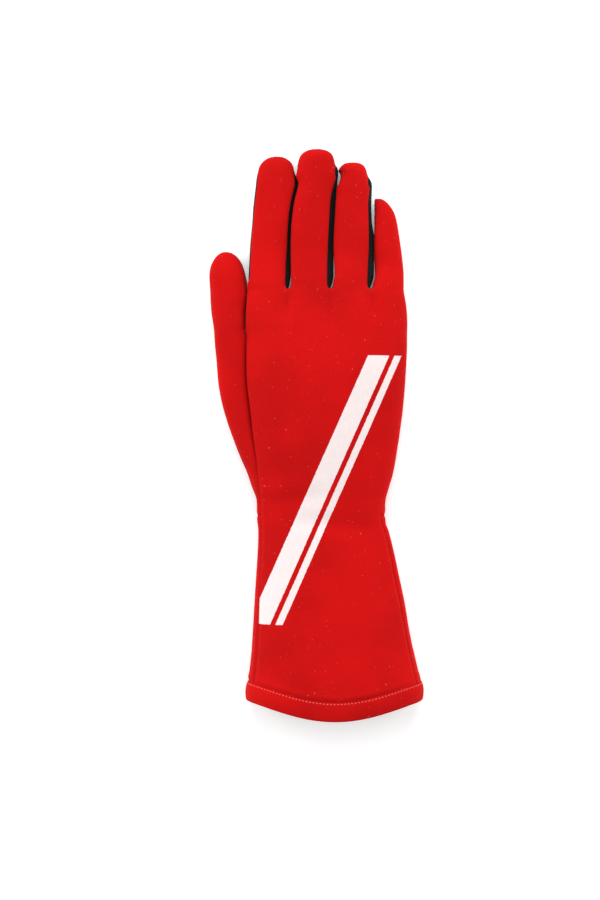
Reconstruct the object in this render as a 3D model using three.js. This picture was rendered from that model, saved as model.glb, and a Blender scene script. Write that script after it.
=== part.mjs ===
// A right-hand racing glove with a long flared gauntlet, lying on its palm.
// Millimetres. x runs towards the little finger, y towards the fingertips, z up from
// the surface that the palm lies on. The glove is sewn from separate panels: one outer
// skin is worked out as patches of points, and each panel is the part of the skin that
// carries its name, given its own thickness and kept a small gap from its neighbours.

import * as THREE from 'three';

// Lengths along the glove
const handLength = 139.5;        // wrist to the crotches between the fingers
const cuffLength = 113.5;        // wrist to the end of the hem, at the sides
const hemLength = 11.5;          // the folded band at the end of the gauntlet
const cuffBackDrop = 9.5;        // how far the hem's middle hangs past its sides, on the back
const cuffPalmDrop = 3;          // the same on the palm side
const hangRound = 1.7;           // how sharply the hem's curve turns in its middle

// Widths across the glove
const wristWidth = 79.4;
const cuffWidth = 111;
const cuffShift = 8.4;           // the gauntlet flares more on the little finger's side
const knuckleShift = 3.4;        // centre of the knuckles, from the centre of the wrist
const fingerGap = 4.1;           // between neighbouring fingers, back seam to back seam
const thumbGap = 1.7;            // between the thumb and the side of the hand
const sideClearance = 0.7;       // between the side strips of two fingers, at their closest
const sideSeamInset = 2.4;       // the gauntlet's side seams, in from the outline

// Heights above the surface
const backHeight = 27;           // crown of the back of the hand
const cuffHeight = 44;           // crown of the gauntlet's mouth
const thumbHeight = 17;
const crotchDip = 2.6;           // dip of the back between two knuckles
const palmLift = 3;              // groove of the palm between two finger roots
const thumbCrease = 2.4;         // depth of the crease where the thumb joins the back

// Walls
const backThickness = 1.8;       // two layers of knit
const palmThickness = 1.4;       // suede leather
const sideThickness = 1.2;       // the strips between the fingers
const hemThickness = 3;
const hemProud = 0.6;            // the folded hem stands this far out of the gauntlet
const seamGap = 0.6;

// Roundness of the sections: 2 is an ellipse, more is squarer
const backRound = 2.4;
const palmRound = 4;
const fingerRound = 2.2;
const flatShare = 1.06;          // past 1, the middle of the palm lies flat

// Fingers and thumb. width and height are of the finger's tube, tip is how much of its length is
// round at the end, lean is how far the palm side is rolled towards the little finger.
const fingers = {
  index: { length: 83.2, width: 23.3, height: 15.5, tip: 11.2, tipRound: 2.1, lean: 1.4 },
  middle: { length: 87.6, width: 23, height: 16.5, tip: 10.4, tipRound: 2.5, lean: 2.6 },
  ring: { length: 79.7, width: 21.2, height: 15.5, tip: 9.6, tipRound: 2.5, lean: 2.6 },
  little: { length: 57.4, width: 19.4, height: 13, tip: 13, tipRound: 2.1, lean: 2 },
};
const thumb = { length: 52, width: 23.2, height: 15.5, tip: 16.5, tipRound: 2, lean: 0.6 };
const bulgeLeft = 0.3;           // how far a finger's left strip stands out
const bulgeRight = 1.3;          // its right strip, where it stands free
const bulgeMost = 2.9;           // and where it fills the gap to the next finger
const bulgeHeight = 4;           // a strip lower than this stands out less
const backSeamShare = 0.7;       // height of the back's seam on a finger, as a share of its height
const palmSeamShare = 0.2;
const crownShare = 0.9;          // a finger's height near its tip, as a share of its full height
const fingerMid = 0.45;          // where a finger is widest, as a share of its height
const wallStartShare = 0.7;      // where a side strip begins, in tips from the end of the finger
const wallRiseShare = 0.9;       // and over what length it opens to its full height
const valleyShare = 0.42;        // height of the thumb's seam, from the widest level to the crown
const dipStartShare = 0.78;      // hand station where the dips between the knuckles begin
const grooveStartShare = 0.82;   // the same for the grooves of the palm
const crotchRadius = 4;          // the round end of the slit between two fingers
const rootShare = 0.34;          // the part of a finger over which it grows out of the hand
const rootSlopeShare = 0.7;      // how steeply it does so at first

// How each finger runs, from its root (0) to its tip (1): shift of its centre and width of its
// tube, both as shares of its width.
const courses = {
  index: [
    { at: 0, shift: 0, wide: 0.97 },
    { at: 0.3, shift: 0.03, wide: 0.95 },
    { at: 0.5, shift: 0.075, wide: 0.92 },
    { at: 0.65, shift: 0.13, wide: 0.95 },
    { at: 0.8, shift: 0.22, wide: 1.01 },
    { at: 1, shift: 0.27, wide: 1 },
  ],
  middle: [
    { at: 0, shift: 0, wide: 0.95 },
    { at: 0.3, shift: -0.03, wide: 1 },
    { at: 0.5, shift: 0.01, wide: 0.99 },
    { at: 0.68, shift: 0.08, wide: 0.95 },
    { at: 0.85, shift: 0.18, wide: 1 },
    { at: 1, shift: 0.22, wide: 1.02 },
  ],
  ring: [
    { at: 0, shift: 0, wide: 0.97 },
    { at: 0.3, shift: 0, wide: 1.02 },
    { at: 0.5, shift: 0.015, wide: 0.99 },
    { at: 0.7, shift: 0.045, wide: 0.9 },
    { at: 1, shift: 0.09, wide: 0.92 },
  ],
  little: [
    { at: 0, shift: 0, wide: 1 },
    { at: 0.25, shift: -0.02, wide: 1 },
    { at: 0.5, shift: -0.1, wide: 0.96 },
    { at: 0.75, shift: -0.2, wide: 0.9 },
    { at: 1, shift: -0.36, wide: 0.86 },
  ],
  thumb: [
    { at: 0, shift: 0, wide: 0.9 },
    { at: 0.26, shift: -0.01, wide: 0.94 },
    { at: 0.54, shift: -0.03, wide: 1 },
    { at: 0.8, shift: -0.06, wide: 1 },
    { at: 1, shift: -0.075, wide: 1 },
  ],
};

// The hand, from the wrist (0) to the finger crotches (1). right, seam and left say how far the
// outline on the little finger's side, the thumb's seam and the outline on the thumb's side have
// gone from their places at the wrist to those at the knuckles. top is a share of backHeight, mid
// is where the section is widest, as a share of its height, and own says how much the thumb has
// a crown of its own.
const handSections = [
  { at: 0, right: 0, seam: 0, left: 0, top: 0.93, mid: 0.38, own: 0 },
  { at: 0.07, right: 0.05, seam: 0.04, left: 0.01, top: 0.935, mid: 0.38, own: 0 },
  { at: 0.12, right: 0.21, seam: 0.12, left: 0.1, top: 0.95, mid: 0.37, own: 0.04 },
  { at: 0.19, right: 0.44, seam: 0.25, left: 0.22, top: 0.96, mid: 0.36, own: 0.16 },
  { at: 0.26, right: 0.59, seam: 0.39, left: 0.37, top: 0.98, mid: 0.36, own: 0.36 },
  { at: 0.36, right: 0.77, seam: 0.65, left: 0.56, top: 1, mid: 0.35, own: 0.66 },
  { at: 0.47, right: 0.92, seam: 0.87, left: 0.735, top: 1, mid: 0.35, own: 0.9 },
  { at: 0.58, right: 1.03, seam: 1.09, left: 0.84, top: 1, mid: 0.35, own: 1 },
  { at: 0.68, right: 1.1, seam: 1.17, left: 0.88, top: 0.98, mid: 0.35, own: 1 },
  { at: 0.8, right: 1.15, seam: 1.17, left: 0.935, top: 0.92, mid: 0.36, own: 1 },
  { at: 0.9, right: 1.13, seam: 1.13, left: 0.97, top: 0.85, mid: 0.37, own: 1 },
  { at: 1, right: 1, seam: 1, left: 1, top: 0.78, mid: 0.38, own: 1 },
];
const webShare = 0.8;            // where the thumb leaves the side of the hand

// The gauntlet, from the wrist (0) to the end of the hem (1). left and right are shares of the
// way from the wrist's half width to the mouth's, top is the share of the rise from the wrist's
// height to cuffHeight, and inset is a multiple of sideSeamInset.
const cuffSections = [
  { at: 0, right: 0, left: 0, top: 0, mid: 0.38, drop: 0, inset: 1 },
  { at: 0.05, right: 0.03, left: -0.04, top: 0.02, mid: 0.38, drop: 0, inset: 1 },
  { at: 0.08, right: 0.09, left: -0.08, top: 0.05, mid: 0.38, drop: 0.02, inset: 1.02 },
  { at: 0.16, right: 0.19, left: -0.06, top: 0.13, mid: 0.37, drop: 0.05, inset: 1.05 },
  { at: 0.34, right: 0.36, left: 0.12, top: 0.32, mid: 0.36, drop: 0.18, inset: 1.2 },
  { at: 0.51, right: 0.53, left: 0.25, top: 0.51, mid: 0.35, drop: 0.36, inset: 1.35 },
  { at: 0.69, right: 0.69, left: 0.38, top: 0.7, mid: 0.34, drop: 0.6, inset: 1.5 },
  { at: 0.82, right: 0.83, left: 0.54, top: 0.84, mid: 0.33, drop: 0.8, inset: 1.5 },
  { at: 0.9, right: 0.92, left: 0.72, top: 0.93, mid: 0.33, drop: 1, inset: 1.5 },
  { at: 0.95, right: 1, left: 1, top: 0.98, mid: 0.33, drop: 1, inset: 1.5 },
  { at: 1, right: 0.93, left: 0.86, top: 0.97, mid: 0.33, drop: 1, inset: 1.5 },
];

// Broad folds of the cloth on the back. at is a hand station, or a cuff station when negative,
// across runs from the thumb's seam (0) to the little finger's outline (1). depth is in millimetres,
// and long and wide are shares of the wrist's width.
const folds = [
  { at: -0.06, across: 0.7, depth: 1.3, long: 0.42, wide: 0.07, turn: -0.12 },
  { at: 0.06, across: 0.2, depth: 1.1, long: 0.34, wide: 0.08, turn: 0.25 },
  { at: -0.3, across: 0.86, depth: 1.2, long: 0.1, wide: 0.34, turn: 0.2 },
];

// How finely the skin is divided. shoulderShare is where the back ends on the gauntlet and its side
// begins, in the last lane, and underShare is how far under the outline the palm's edge lies.
const shoulderShare = 0.84;
const underShare = 0.12;
const laneColumns = [0, 0.2, 0.4, 0.6, 0.8, 1];
const rightColumns = [0, 0.22, 0.44, 0.66, shoulderShare, 0.94, 0.985, 1];
const leftColumns = rightColumns.map((u) => 1 - u).reverse();
const wallSteps = 3;
const webRows = 3;               // from the finger crotches to the thumb's web
const handRows = 10;             // from there to the wrist
const cuffRows = 8;
const hemRows = 3;
const fingerRows = 5;
const crotchRowShare = 0.35;     // a finger's last row before its root, in radii of the crotch
const tipRows = [0, 0.1, 0.34, 0.7]; // distance from the tip, as shares of the tip's length

const mix = (a, b, t) => a + (b - a) * t;
const smooth = (t) => {
  const s = Math.min(1, Math.max(0, t));
  return s * s * (3 - 2 * s);
};
const growth = (t) => smooth(t) + rootSlopeShare * t * (1 - t) ** 2;
// Height of a rounded section at q, from -1 to 1 across it, as a share of its full height
const arc = (q, round) => Math.pow(Math.max(0, 1 - Math.pow(Math.abs(q), round)), 1 / round);

// The value of one column of a table at a station, on a smooth curve through its rows
function follow(table, column, at) {
  const last = table.length - 1;
  const t = Math.min(Math.max(at, table[0].at), table[last].at);
  let i = 0;
  while (i < last - 1 && t > table[i + 1].at) i += 1;
  const slope = (k) => {
    const a = table[Math.max(0, k - 1)];
    const b = table[Math.min(last, k + 1)];
    return (b[column] - a[column]) / (b.at - a.at);
  };
  const span = table[i + 1].at - table[i].at;
  const s = (t - table[i].at) / span;
  const rise = table[i + 1][column] - table[i][column];
  const start = slope(i) * span;
  const end = slope(i + 1) * span;
  const curve = s * s * (3 * rise - 2 * start - end) + s * s * s * (start + end - 2 * rise);
  return table[i][column] + s * start + curve;
}

// The knuckles: each finger's lane across the hand, its side gaps included
const fingerNames = ['index', 'middle', 'ring', 'little'];
const rootWidth = (name) => fingers[name].width * courses[name][0].wide;
const knuckleWidth = fingerNames.reduce((sum, name) => sum + rootWidth(name), 0)
  + fingerGap * (fingerNames.length - 1);
const knuckleLeft = knuckleShift - knuckleWidth / 2;
const knuckleRight = knuckleShift + knuckleWidth / 2;
const lanes = {};
let laneStart = 0;
for (const name of fingerNames) {
  const gaps = name === 'index' || name === 'little' ? 0.5 : 1;
  const laneEnd = laneStart + (rootWidth(name) + gaps * fingerGap) / knuckleWidth;
  lanes[name] = [laneStart, Math.min(1, laneEnd)];
  laneStart = laneEnd;
}

// One cross-section of the hand (station 0 to 1) or of the gauntlet (station 0 to -1)
function sectionAt(station) {
  const wristLeft = -wristWidth / 2;
  const wristRight = wristWidth / 2;
  const wristTop = backHeight * handSections[0].top;
  if (station >= 0) {
    const read = (column) => follow(handSections, column, station);
    const left = mix(wristLeft, knuckleLeft - thumb.width, read('left'));
    const seam = mix(wristLeft + sideSeamInset, knuckleLeft, read('seam'));
    const top = backHeight * read('top');
    const mid = top * read('mid');
    const own = read('own');
    const valley = mix(mid, top, valleyShare) - thumbCrease * smooth(own);
    const thumbTop = Math.max(thumbHeight, valley);
    return {
      station, y: station * handLength, left, seam, right: mix(wristRight, knuckleRight, read('right')),
      top, mid, own, valley, thumbTop, backDrop: 0, palmDrop: 0,
    };
  }
  const read = (column) => follow(cuffSections, column, -station);
  const left = mix(wristLeft, cuffShift - cuffWidth / 2, read('left'));
  const top = mix(wristTop, cuffHeight, read('top'));
  const mid = top * read('mid');
  return {
    station, y: station * cuffLength, left, seam: left + sideSeamInset * read('inset'),
    right: mix(wristRight, cuffShift + cuffWidth / 2, read('right')),
    top, mid, own: 0, valley: mid, thumbTop: mid,
    backDrop: cuffBackDrop * read('drop'), palmDrop: cuffPalmDrop * read('drop'),
  };
}

// How far x lies across a section, from -1 at the left outline to 1 at the right
const across = (s, x) => (2 * x - s.left - s.right) / (s.right - s.left);

// Depth of the broad folds at a place on the back, fading out at the outline
function foldDepth(s, x) {
  let depth = 0;
  for (const fold of folds) {
    const scale = fold.at < 0 ? cuffLength : handLength;
    const centre = mix(s.seam, s.right, fold.across);
    const dx = x - centre;
    const dy = s.y - fold.at * scale;
    const along = (dx * Math.cos(fold.turn) + dy * Math.sin(fold.turn)) / (fold.long * wristWidth);
    const aside = (dy * Math.cos(fold.turn) - dx * Math.sin(fold.turn)) / (fold.wide * wristWidth);
    depth += fold.depth * Math.exp(-along * along - aside * aside);
  }
  return depth * Math.max(0, 1 - across(s, x) ** 6);
}

// Height of the back at x: one dome at the wrist and gauntlet, and two domes, the hand's and the
// thumb's, with the crease of the thumb's seam between them, further up.
function backHeightAt(s, x) {
  const one = s.mid + (s.top - s.mid) * arc(across(s, x), backRound);
  const onHand = x >= s.seam;
  const q = across(onHand ? { left: s.seam, right: s.right } : { left: s.left, right: s.seam }, x);
  const crown = onHand ? s.top : s.thumbTop;
  const base = onHand === (q < 0) ? s.valley : s.mid;
  const two = base + (crown - base) * arc(q, backRound);
  return mix(one, two, s.own) - foldDepth(s, x);
}

// Height of the palm side at x, flat on the surface in the middle and rounded up at the sides
function palmHeightAt(s, x) {
  return s.mid * (1 - Math.min(1, flatShare * arc(across(s, x), palmRound)));
}
// The end of the hem hangs lower in its middle than at its sides
const hang = (s, x, drop) => s.y - drop * Math.max(0, 1 - across(s, x) ** 2) ** hangRound;

// How much of the dip or groove below a finger's crotch there is at u across the finger's lane
function crotchShare(s, lane, u, start) {
  const outline = (lane[0] === 0 && u < 0.5) || (lane[1] === 1 && u > 0.5);
  return outline ? 0 : Math.abs(2 * u - 1) ** 3 * smooth((s.station - start) / (1 - start));
}

// A point on the back of the hand or gauntlet, at u across one finger's lane
function handBack(s, lane, u) {
  const x = mix(s.seam, s.right, mix(lane[0], lane[1], u));
  const dip = crotchDip * crotchShare(s, lane, u, dipStartShare);
  return new THREE.Vector3(x, hang(s, x, s.backDrop), backHeightAt(s, x) - dip);
}

// The same on the palm side
function handPalm(s, lane, u) {
  const x = mix(s.seam, s.right, mix(lane[0], lane[1], u));
  const lift = palmLift * crotchShare(s, lane, u, grooveStartShare);
  return new THREE.Vector3(x, hang(s, x, s.palmDrop), palmHeightAt(s, x) + lift);
}

// A point on the thumb's side of the hand or gauntlet, at u from the outline (0) to the seam (1)
function thumbSideBack(s, u) {
  const x = mix(s.left, s.seam, u);
  return new THREE.Vector3(x, hang(s, x, s.backDrop), backHeightAt(s, x));
}
function thumbSidePalm(s, u) {
  const x = mix(s.left, s.seam, u);
  return new THREE.Vector3(x, hang(s, x, s.palmDrop), palmHeightAt(s, x));
}

// One finger or the thumb. ends says what each side is: a seam with a strip beside it, or the
// glove's outline, round which the back wraps. root gives the section that it grows from and how
// far it may reach to either side. d is the distance from the tip, and u runs across.
function makeFinger(size, course, ends, root) {
  const tipShare = (d) => (d < size.tip ? arc(1 - d / size.tip, size.tipRound) : 1);
  const edges = (d) => {
    const v = 1 - d / size.length;
    const half = tipShare(d) * size.width * follow(course, 'wide', v) / 2;
    const centre = root.centre + size.width * follow(course, 'shift', v);
    const open = arc(1 - Math.min(1, (size.length - d) / crotchRadius), 2);
    const y = root.y + size.length - d;
    const left = Math.max(centre - half, root.leftLimit(y));
    const right = Math.min(centre + half, root.rightLimit(y));
    return { v, y, left: mix(root.left, left, open), right: mix(root.right, right, open) };
  };
  const shape = (d) => {
    const e = edges(d);
    const crown = size.height * mix(1, crownShare, e.v);
    const grown = growth(Math.min(1, e.v / rootShare));
    const mid = mix(root.mid, crown * fingerMid, grown);
    const wall = smooth((d / size.tip - wallStartShare) / wallRiseShare);
    return {
      ...e, crown: mix(mid, crown, tipShare(d)), mid, wall, grown,
      backSeam: mix(mid, crown * backSeamShare, wall),
      palmSeam: mix(mid, crown * palmSeamShare, wall),
      floor: mid * (1 - tipShare(d)),
      lean: size.lean * wall * Math.min(1, (size.length - d) / (2 * crotchRadius)),
    };
  };
  const back = (d, u) => {
    const f = shape(d);
    const q = 2 * u - 1;
    const side = q < 0 ? ends.left : ends.right;
    const own = mix(side === 'seam' ? f.backSeam : f.mid, f.crown, arc(q, fingerRound));
    return new THREE.Vector3(mix(f.left, f.right, u), f.y, mix(root.backZ(u), own, f.grown));
  };
  const palm = (d, u) => {
    const f = shape(d);
    const q = 2 * u - 1;
    const side = q < 0 ? ends.left : ends.right;
    const base = Math.max(f.floor, side === 'seam' ? f.palmSeam : f.mid);
    const own = mix(base, f.floor, Math.min(1, flatShare * arc(q, palmRound)));
    const x = mix(f.left, f.right, u) + f.lean * (side === 'seam' ? 1 : 1 - Math.abs(q));
    return new THREE.Vector3(x, f.y, mix(root.palmZ(u), own, f.grown));
  };
  return { size, shape, back, palm };
}

// The side strip between a back edge and a palm edge: t runs down it, and it stands out by bulge
function wallPoint(top, bottom, t, bulge) {
  const point = top.clone().lerp(bottom, t);
  const reach = Math.min(1, (top.z - bottom.z) / bulgeHeight);
  point.x += bulge * reach * Math.sin(Math.PI * t);
  return point;
}

// The skin: patches of named points, welded where they meet
const patches = [];
function addPatch(panel, rows, columns, point, flip = false) {
  const grid = rows.map((row) => columns.map((column) => point(row, column)));
  patches.push({ panel, grid, flip });
}

const crotch = sectionAt(1);
const web = sectionAt(webShare);
function stations(from, to, count) {
  return Array.from({ length: count + 1 }, (_, i) => mix(from, to, i / count));
}
const hemStation = -(1 - hemLength / cuffLength);
const aboveWeb = stations(1, webShare, webRows);
const belowWeb = stations(webShare, 0, handRows);
const handStations = [...aboveWeb, ...belowWeb.slice(1)];
const cuffStations = stations(0, hemStation, cuffRows);
const hemStations = stations(hemStation, -1, hemRows);

const made = {};
// A finger keeps clear of the strip on the finger before it, which leans and bulges towards it
function besideFinger(before, y) {
  if (!before) return -Infinity;
  const d = crotch.y + fingers[before].length - y;
  if (d < 0) return -Infinity;
  const f = made[before].shape(d);
  return f.right + (f.lean + bulgeRight + bulgeLeft + sideClearance) * f.wall;
}
for (const name of fingerNames) {
  const lane = lanes[name];
  const left = mix(crotch.seam, crotch.right, lane[0]);
  const right = mix(crotch.seam, crotch.right, lane[1]);
  const before = name === 'index' ? 0 : fingerGap / 2;
  const root = {
    left, right, y: crotch.y, mid: crotch.mid, centre: left + before + rootWidth(name) / 2,
    backZ: (u) => handBack(crotch, lane, u).z,
    palmZ: (u) => handPalm(crotch, lane, u).z,
    leftLimit: (y) => besideFinger(fingerNames[fingerNames.indexOf(name) - 1], y),
    rightLimit: () => Infinity,
  };
  const ends = { left: 'seam', right: name === 'little' ? 'outline' : 'seam' };
  made[name] = makeFinger(fingers[name], courses[name], ends, root);
}
// The thumb lies against the side of the hand, and past the crotches against the index finger
function besideThumb(y) {
  const { size, shape } = made.index;
  const side = y <= crotch.y ? sectionAt(y / handLength).seam : shape(crotch.y + size.length - y).left;
  return side - thumbGap;
}
made.thumb = makeFinger(thumb, courses.thumb, { left: 'outline', right: 'seam' }, {
  left: web.left, right: web.seam, y: web.y, mid: web.mid, centre: (web.left + web.seam - thumbGap) / 2,
  backZ: (u) => thumbSideBack(web, u).z,
  palmZ: (u) => thumbSidePalm(web, u).z,
  leftLimit: () => -Infinity,
  rightLimit: besideThumb,
});

// Distances from the tip at which a finger has its rows
function fingerDistances(size) {
  const cap = tipRows.map((share) => share * size.tip);
  const start = cap[cap.length - 1];
  const end = size.length - crotchRadius * crotchRowShare;
  return [...cap, ...stations(start, end, fingerRows).slice(1), size.length];
}

// Sheets of the back and of the palm. The one of a pair of sheets that wraps round the outline
// goes on from the outline (u = 1 or 0) to the edge of the other under it.
const shortLane = laneColumns.map((u) => u * (1 - underShare));
const palmLane = (name) => (name === 'little' ? shortLane : laneColumns);
for (const name of fingerNames) {
  const finger = made[name];
  const rows = fingerDistances(finger.size);
  const columns = name === 'little' ? rightColumns : laneColumns;
  addPatch('back_panel', rows, columns, (d, u) => finger.back(d, u));
  addPatch('palm_panel', rows, palmLane(name), (d, u) => finger.palm(d, u), true);
  if (name === 'little') {
    const wrap = (d, u) => (u === 1 ? finger.back(d, u) : finger.palm(d, u));
    addPatch('back_panel', rows, [1, 1 - underShare], wrap);
  }
}
const thumbRows = fingerDistances(made.thumb.size);
addPatch('thumb_back', thumbRows, leftColumns, (d, u) => made.thumb.back(d, u));
const thumbPalmColumns = laneColumns.map((u) => mix(underShare, 1, u));
addPatch('thumb_palm', thumbRows, thumbPalmColumns, (d, u) => made.thumb.palm(d, u), true);
const thumbWrap = (d, u) => (u === 0 ? made.thumb.back(d, u) : made.thumb.palm(d, u));
addPatch('thumb_back', thumbRows, [underShare, 0], thumbWrap);

// The hand and gauntlet, a band of stations at a time
function addBand(band, panels) {
  const sections = band.map(sectionAt);
  for (const name of fingerNames) {
    const lane = lanes[name];
    const columns = name === 'little' ? rightColumns : laneColumns;
    const onBack = name === 'little' ? columns.filter((u) => u <= shoulderShare) : columns;
    addPatch(panels.back, sections, onBack, (s, u) => handBack(s, lane, u));
    addPatch(panels.palm, sections, palmLane(name), (s, u) => handPalm(s, lane, u), true);
    if (name === 'little') {
      const wrap = (s, u) => (u === 1 ? handBack(s, lane, u) : handPalm(s, lane, u));
      const onSide = columns.filter((u) => u >= shoulderShare);
      addPatch(panels.side, sections, onSide, (s, u) => handBack(s, lane, u));
      addPatch(panels.side, sections, [1, 1 - underShare], wrap);
    }
  }
}
function addThumbBand(band, panels) {
  const sections = band.map(sectionAt);
  addPatch(panels.thumb, sections, leftColumns, thumbSideBack);
  addPatch(panels.thumbPalm, sections, thumbPalmColumns, thumbSidePalm, true);
  const wrap = (s, u) => (u === 0 ? thumbSideBack(s, u) : thumbSidePalm(s, u));
  addPatch(panels.thumb, sections, [underShare, 0], wrap);
}
const wholeBand = (name) => ({ back: name, side: name, palm: name, thumb: name, thumbPalm: name });
const handPanels = {
  ...wholeBand('back_panel'), palm: 'palm_panel', thumb: 'thumb_back', thumbPalm: 'thumb_palm',
};
const cuffPanels = { ...wholeBand('gauntlet_palm'), back: 'back_panel' };
const hemPanels = wholeBand('cuff_hem');
addBand(handStations, handPanels);
addThumbBand(belowWeb, handPanels);
addBand(cuffStations, cuffPanels);
addThumbBand(cuffStations, cuffPanels);
addBand(hemStations, hemPanels);
addThumbBand(hemStations, hemPanels);

// The strips beside the fingers. Each runs down one finger's side to the crotch and up the next.
const steps = Array.from({ length: wallSteps + 1 }, (_, i) => i / wallSteps);
function fingerSide(finger, u, bulgeAt) {
  const rungs = fingerDistances(finger.size).map((d) => (
    { top: finger.back(d, u), bottom: finger.palm(d, u), bulge: bulgeAt(d) }));
  rungs[rungs.length - 1].bulge = 0;
  return rungs;
}
const leftSide = (finger) => fingerSide(finger, 0, () => -bulgeLeft);
// The right strip of a finger fills the gap to the next one, as far as the next one reaches
function rightSide(finger, next) {
  return fingerSide(finger, 1, (d) => {
    const { y, right } = finger.shape(d);
    const below = crotch.y + next.size.length - y;
    if (below <= 0) return bulgeRight;
    const room = next.shape(below).left - right - bulgeLeft - sideClearance;
    return mix(bulgeRight, Math.min(bulgeMost, room), smooth(below / next.size.tip - 1));
  });
}
function addStrip(panel, down, between, up) {
  const rungs = [...down, ...between, ...up.reverse()];
  addPatch(panel, rungs, steps, (rung, t) => wallPoint(rung.top, rung.bottom, t, rung.bulge));
}
const neighbours = [['index', 'middle'], ['middle', 'ring'], ['ring', 'little']];
for (const [one, other] of neighbours) {
  const up = leftSide(made[other]).slice(0, -1);
  addStrip(`fourchette_${one}_${other}`, rightSide(made[one], made[other]), [], up);
}
const besideWeb = aboveWeb.slice(1, -1).reverse().map((station) => {
  const s = sectionAt(station);
  return { top: handBack(s, lanes.index, 0), bottom: handPalm(s, lanes.index, 0), bulge: -bulgeLeft };
});
addStrip('thumb_gusset', fingerSide(made.thumb, 1, () => bulgeLeft), besideWeb, leftSide(made.index));

// Welding: points closer than weldDistance become one. Each is looked for in the cells round it.
const weldDistance = 0.01;
const points = [];
const cells = new Map();
const around = [-1, 0, 1].flatMap((i) => [-1, 0, 1].flatMap((j) => [-1, 0, 1].map((k) => [i, j, k])));
function pointAt(p) {
  const cell = p.toArray().map((value) => Math.floor(value / weldDistance));
  for (const step of around) {
    const near = cells.get(cell.map((value, k) => value + step[k]).join(' '));
    if (near !== undefined && points[near].distanceTo(p) < weldDistance) return near;
  }
  cells.set(cell.join(' '), points.length);
  points.push(p.clone());
  return points.length - 1;
}
const faces = [];
for (const { panel, grid, flip } of patches) {
  const ids = grid.map((row) => row.map(pointAt));
  for (let r = 0; r < ids.length - 1; r += 1) {
    for (let c = 0; c < ids[r].length - 1; c += 1) {
      const quad = [ids[r][c], ids[r + 1][c], ids[r + 1][c + 1], ids[r][c + 1]];
      for (const corners of [[quad[0], quad[1], quad[2]], [quad[0], quad[2], quad[3]]]) {
        if (new Set(corners).size < 3) continue;
        if (flip) corners.reverse();
        faces.push({ panel, corners });
      }
    }
  }
}

// Face normals summed at each point of a panel, each weighed by the face's angle there
function faceNormal(corners) {
  const [a, b, c] = corners.map((i) => points[i]);
  return b.clone().sub(a).cross(c.clone().sub(a)).normalize();
}
function pointNormals(list) {
  const sums = new Map();
  for (const { corners } of list) {
    const normal = faceNormal(corners);
    corners.forEach((i, k) => {
      const one = points[corners[(k + 1) % 3]].clone().sub(points[i]);
      const other = points[corners[(k + 2) % 3]].clone().sub(points[i]);
      if (!sums.has(i)) sums.set(i, new THREE.Vector3());
      sums.get(i).addScaledVector(normal, one.angleTo(other));
    });
  }
  for (const normal of sums.values()) normal.normalize();
  return sums;
}
const panelNames = [...new Set(faces.map((face) => face.panel))];
const panelFaces = {};
const panelNormals = {};
// A seam's mitre is the mean of its panels' own normals
const mitres = new Map();
for (const name of panelNames) {
  panelFaces[name] = faces.filter((face) => face.panel === name);
  panelNormals[name] = pointNormals(panelFaces[name]);
  for (const [i, normal] of panelNormals[name]) {
    if (!mitres.has(i)) mitres.set(i, new THREE.Vector3());
    mitres.get(i).add(normal);
  }
}
for (const normal of mitres.values()) normal.normalize();

// A panel as a closed solid: its outer face drawn back from its seams, an inner face at the
// panel's thickness, and a rim between the two. mitreShare and cornerShare keep sharp corners short.
const mitreShare = 0.75;
const cornerShare = 0.5;
function makePanel(name, thickness, proud = 0) {
  const own = panelFaces[name];
  const edges = new Map();
  for (const { corners } of own) {
    for (let k = 0; k < 3; k += 1) {
      const a = corners[k];
      const b = corners[(k + 1) % 3];
      if (edges.has(`${b} ${a}`)) edges.delete(`${b} ${a}`);
      else edges.set(`${a} ${b}`, { a, b, normal: faceNormal(corners) });
    }
  }
  const pull = new Map();
  for (const { a, b, normal } of edges.values()) {
    const inward = normal.clone().cross(points[b].clone().sub(points[a])).normalize();
    for (const i of [a, b]) {
      if (!pull.has(i)) pull.set(i, []);
      pull.get(i).push(inward);
    }
  }
  const ids = [...new Set(own.flatMap((face) => face.corners))];
  const slot = new Map(ids.map((id, k) => [id, k]));
  const outer = [];
  const inner = [];
  for (const id of ids) {
    const place = points[id].clone();
    const pulls = pull.get(id);
    if (pulls) {
      const way = pulls.reduce((sum, v) => sum.add(v), new THREE.Vector3());
      const reach = Math.max(cornerShare, way.length() / pulls.length);
      place.addScaledVector(way.normalize(), seamGap / 2 / reach);
    }
    const normal = mitres.get(id);
    const facing = Math.max(mitreShare, normal.dot(panelNormals[name].get(id)));
    outer.push(place.clone().addScaledVector(normal, proud / facing));
    inner.push(place.clone().addScaledVector(normal, (proud - thickness) / facing));
  }
  // What would sink into the surface lies flat on it
  for (const place of outer) place.z = Math.max(0, place.z);
  const count = ids.length;
  const index = [];
  for (const { corners } of own) {
    const [a, b, c] = corners.map((id) => slot.get(id));
    index.push(a, b, c, a + count, c + count, b + count);
  }
  for (const { a, b } of edges.values()) {
    const i = slot.get(a);
    const j = slot.get(b);
    index.push(j, i, i + count, j, i + count, j + count);
  }
  const geometry = new THREE.BufferGeometry();
  const places = [...outer, ...inner].flatMap((place) => place.toArray());
  geometry.setAttribute('position', new THREE.Float32BufferAttribute(places, 3));
  geometry.setIndex(index);
  geometry.computeVertexNormals();
  return geometry;
}

// Finishes
const redKnit = new THREE.MeshStandardMaterial({ color: 0xd41414, roughness: 0.92, metalness: 0 });
const blackSuede = new THREE.MeshStandardMaterial({ color: 0x17181a, roughness: 0.88, metalness: 0 });

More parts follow.
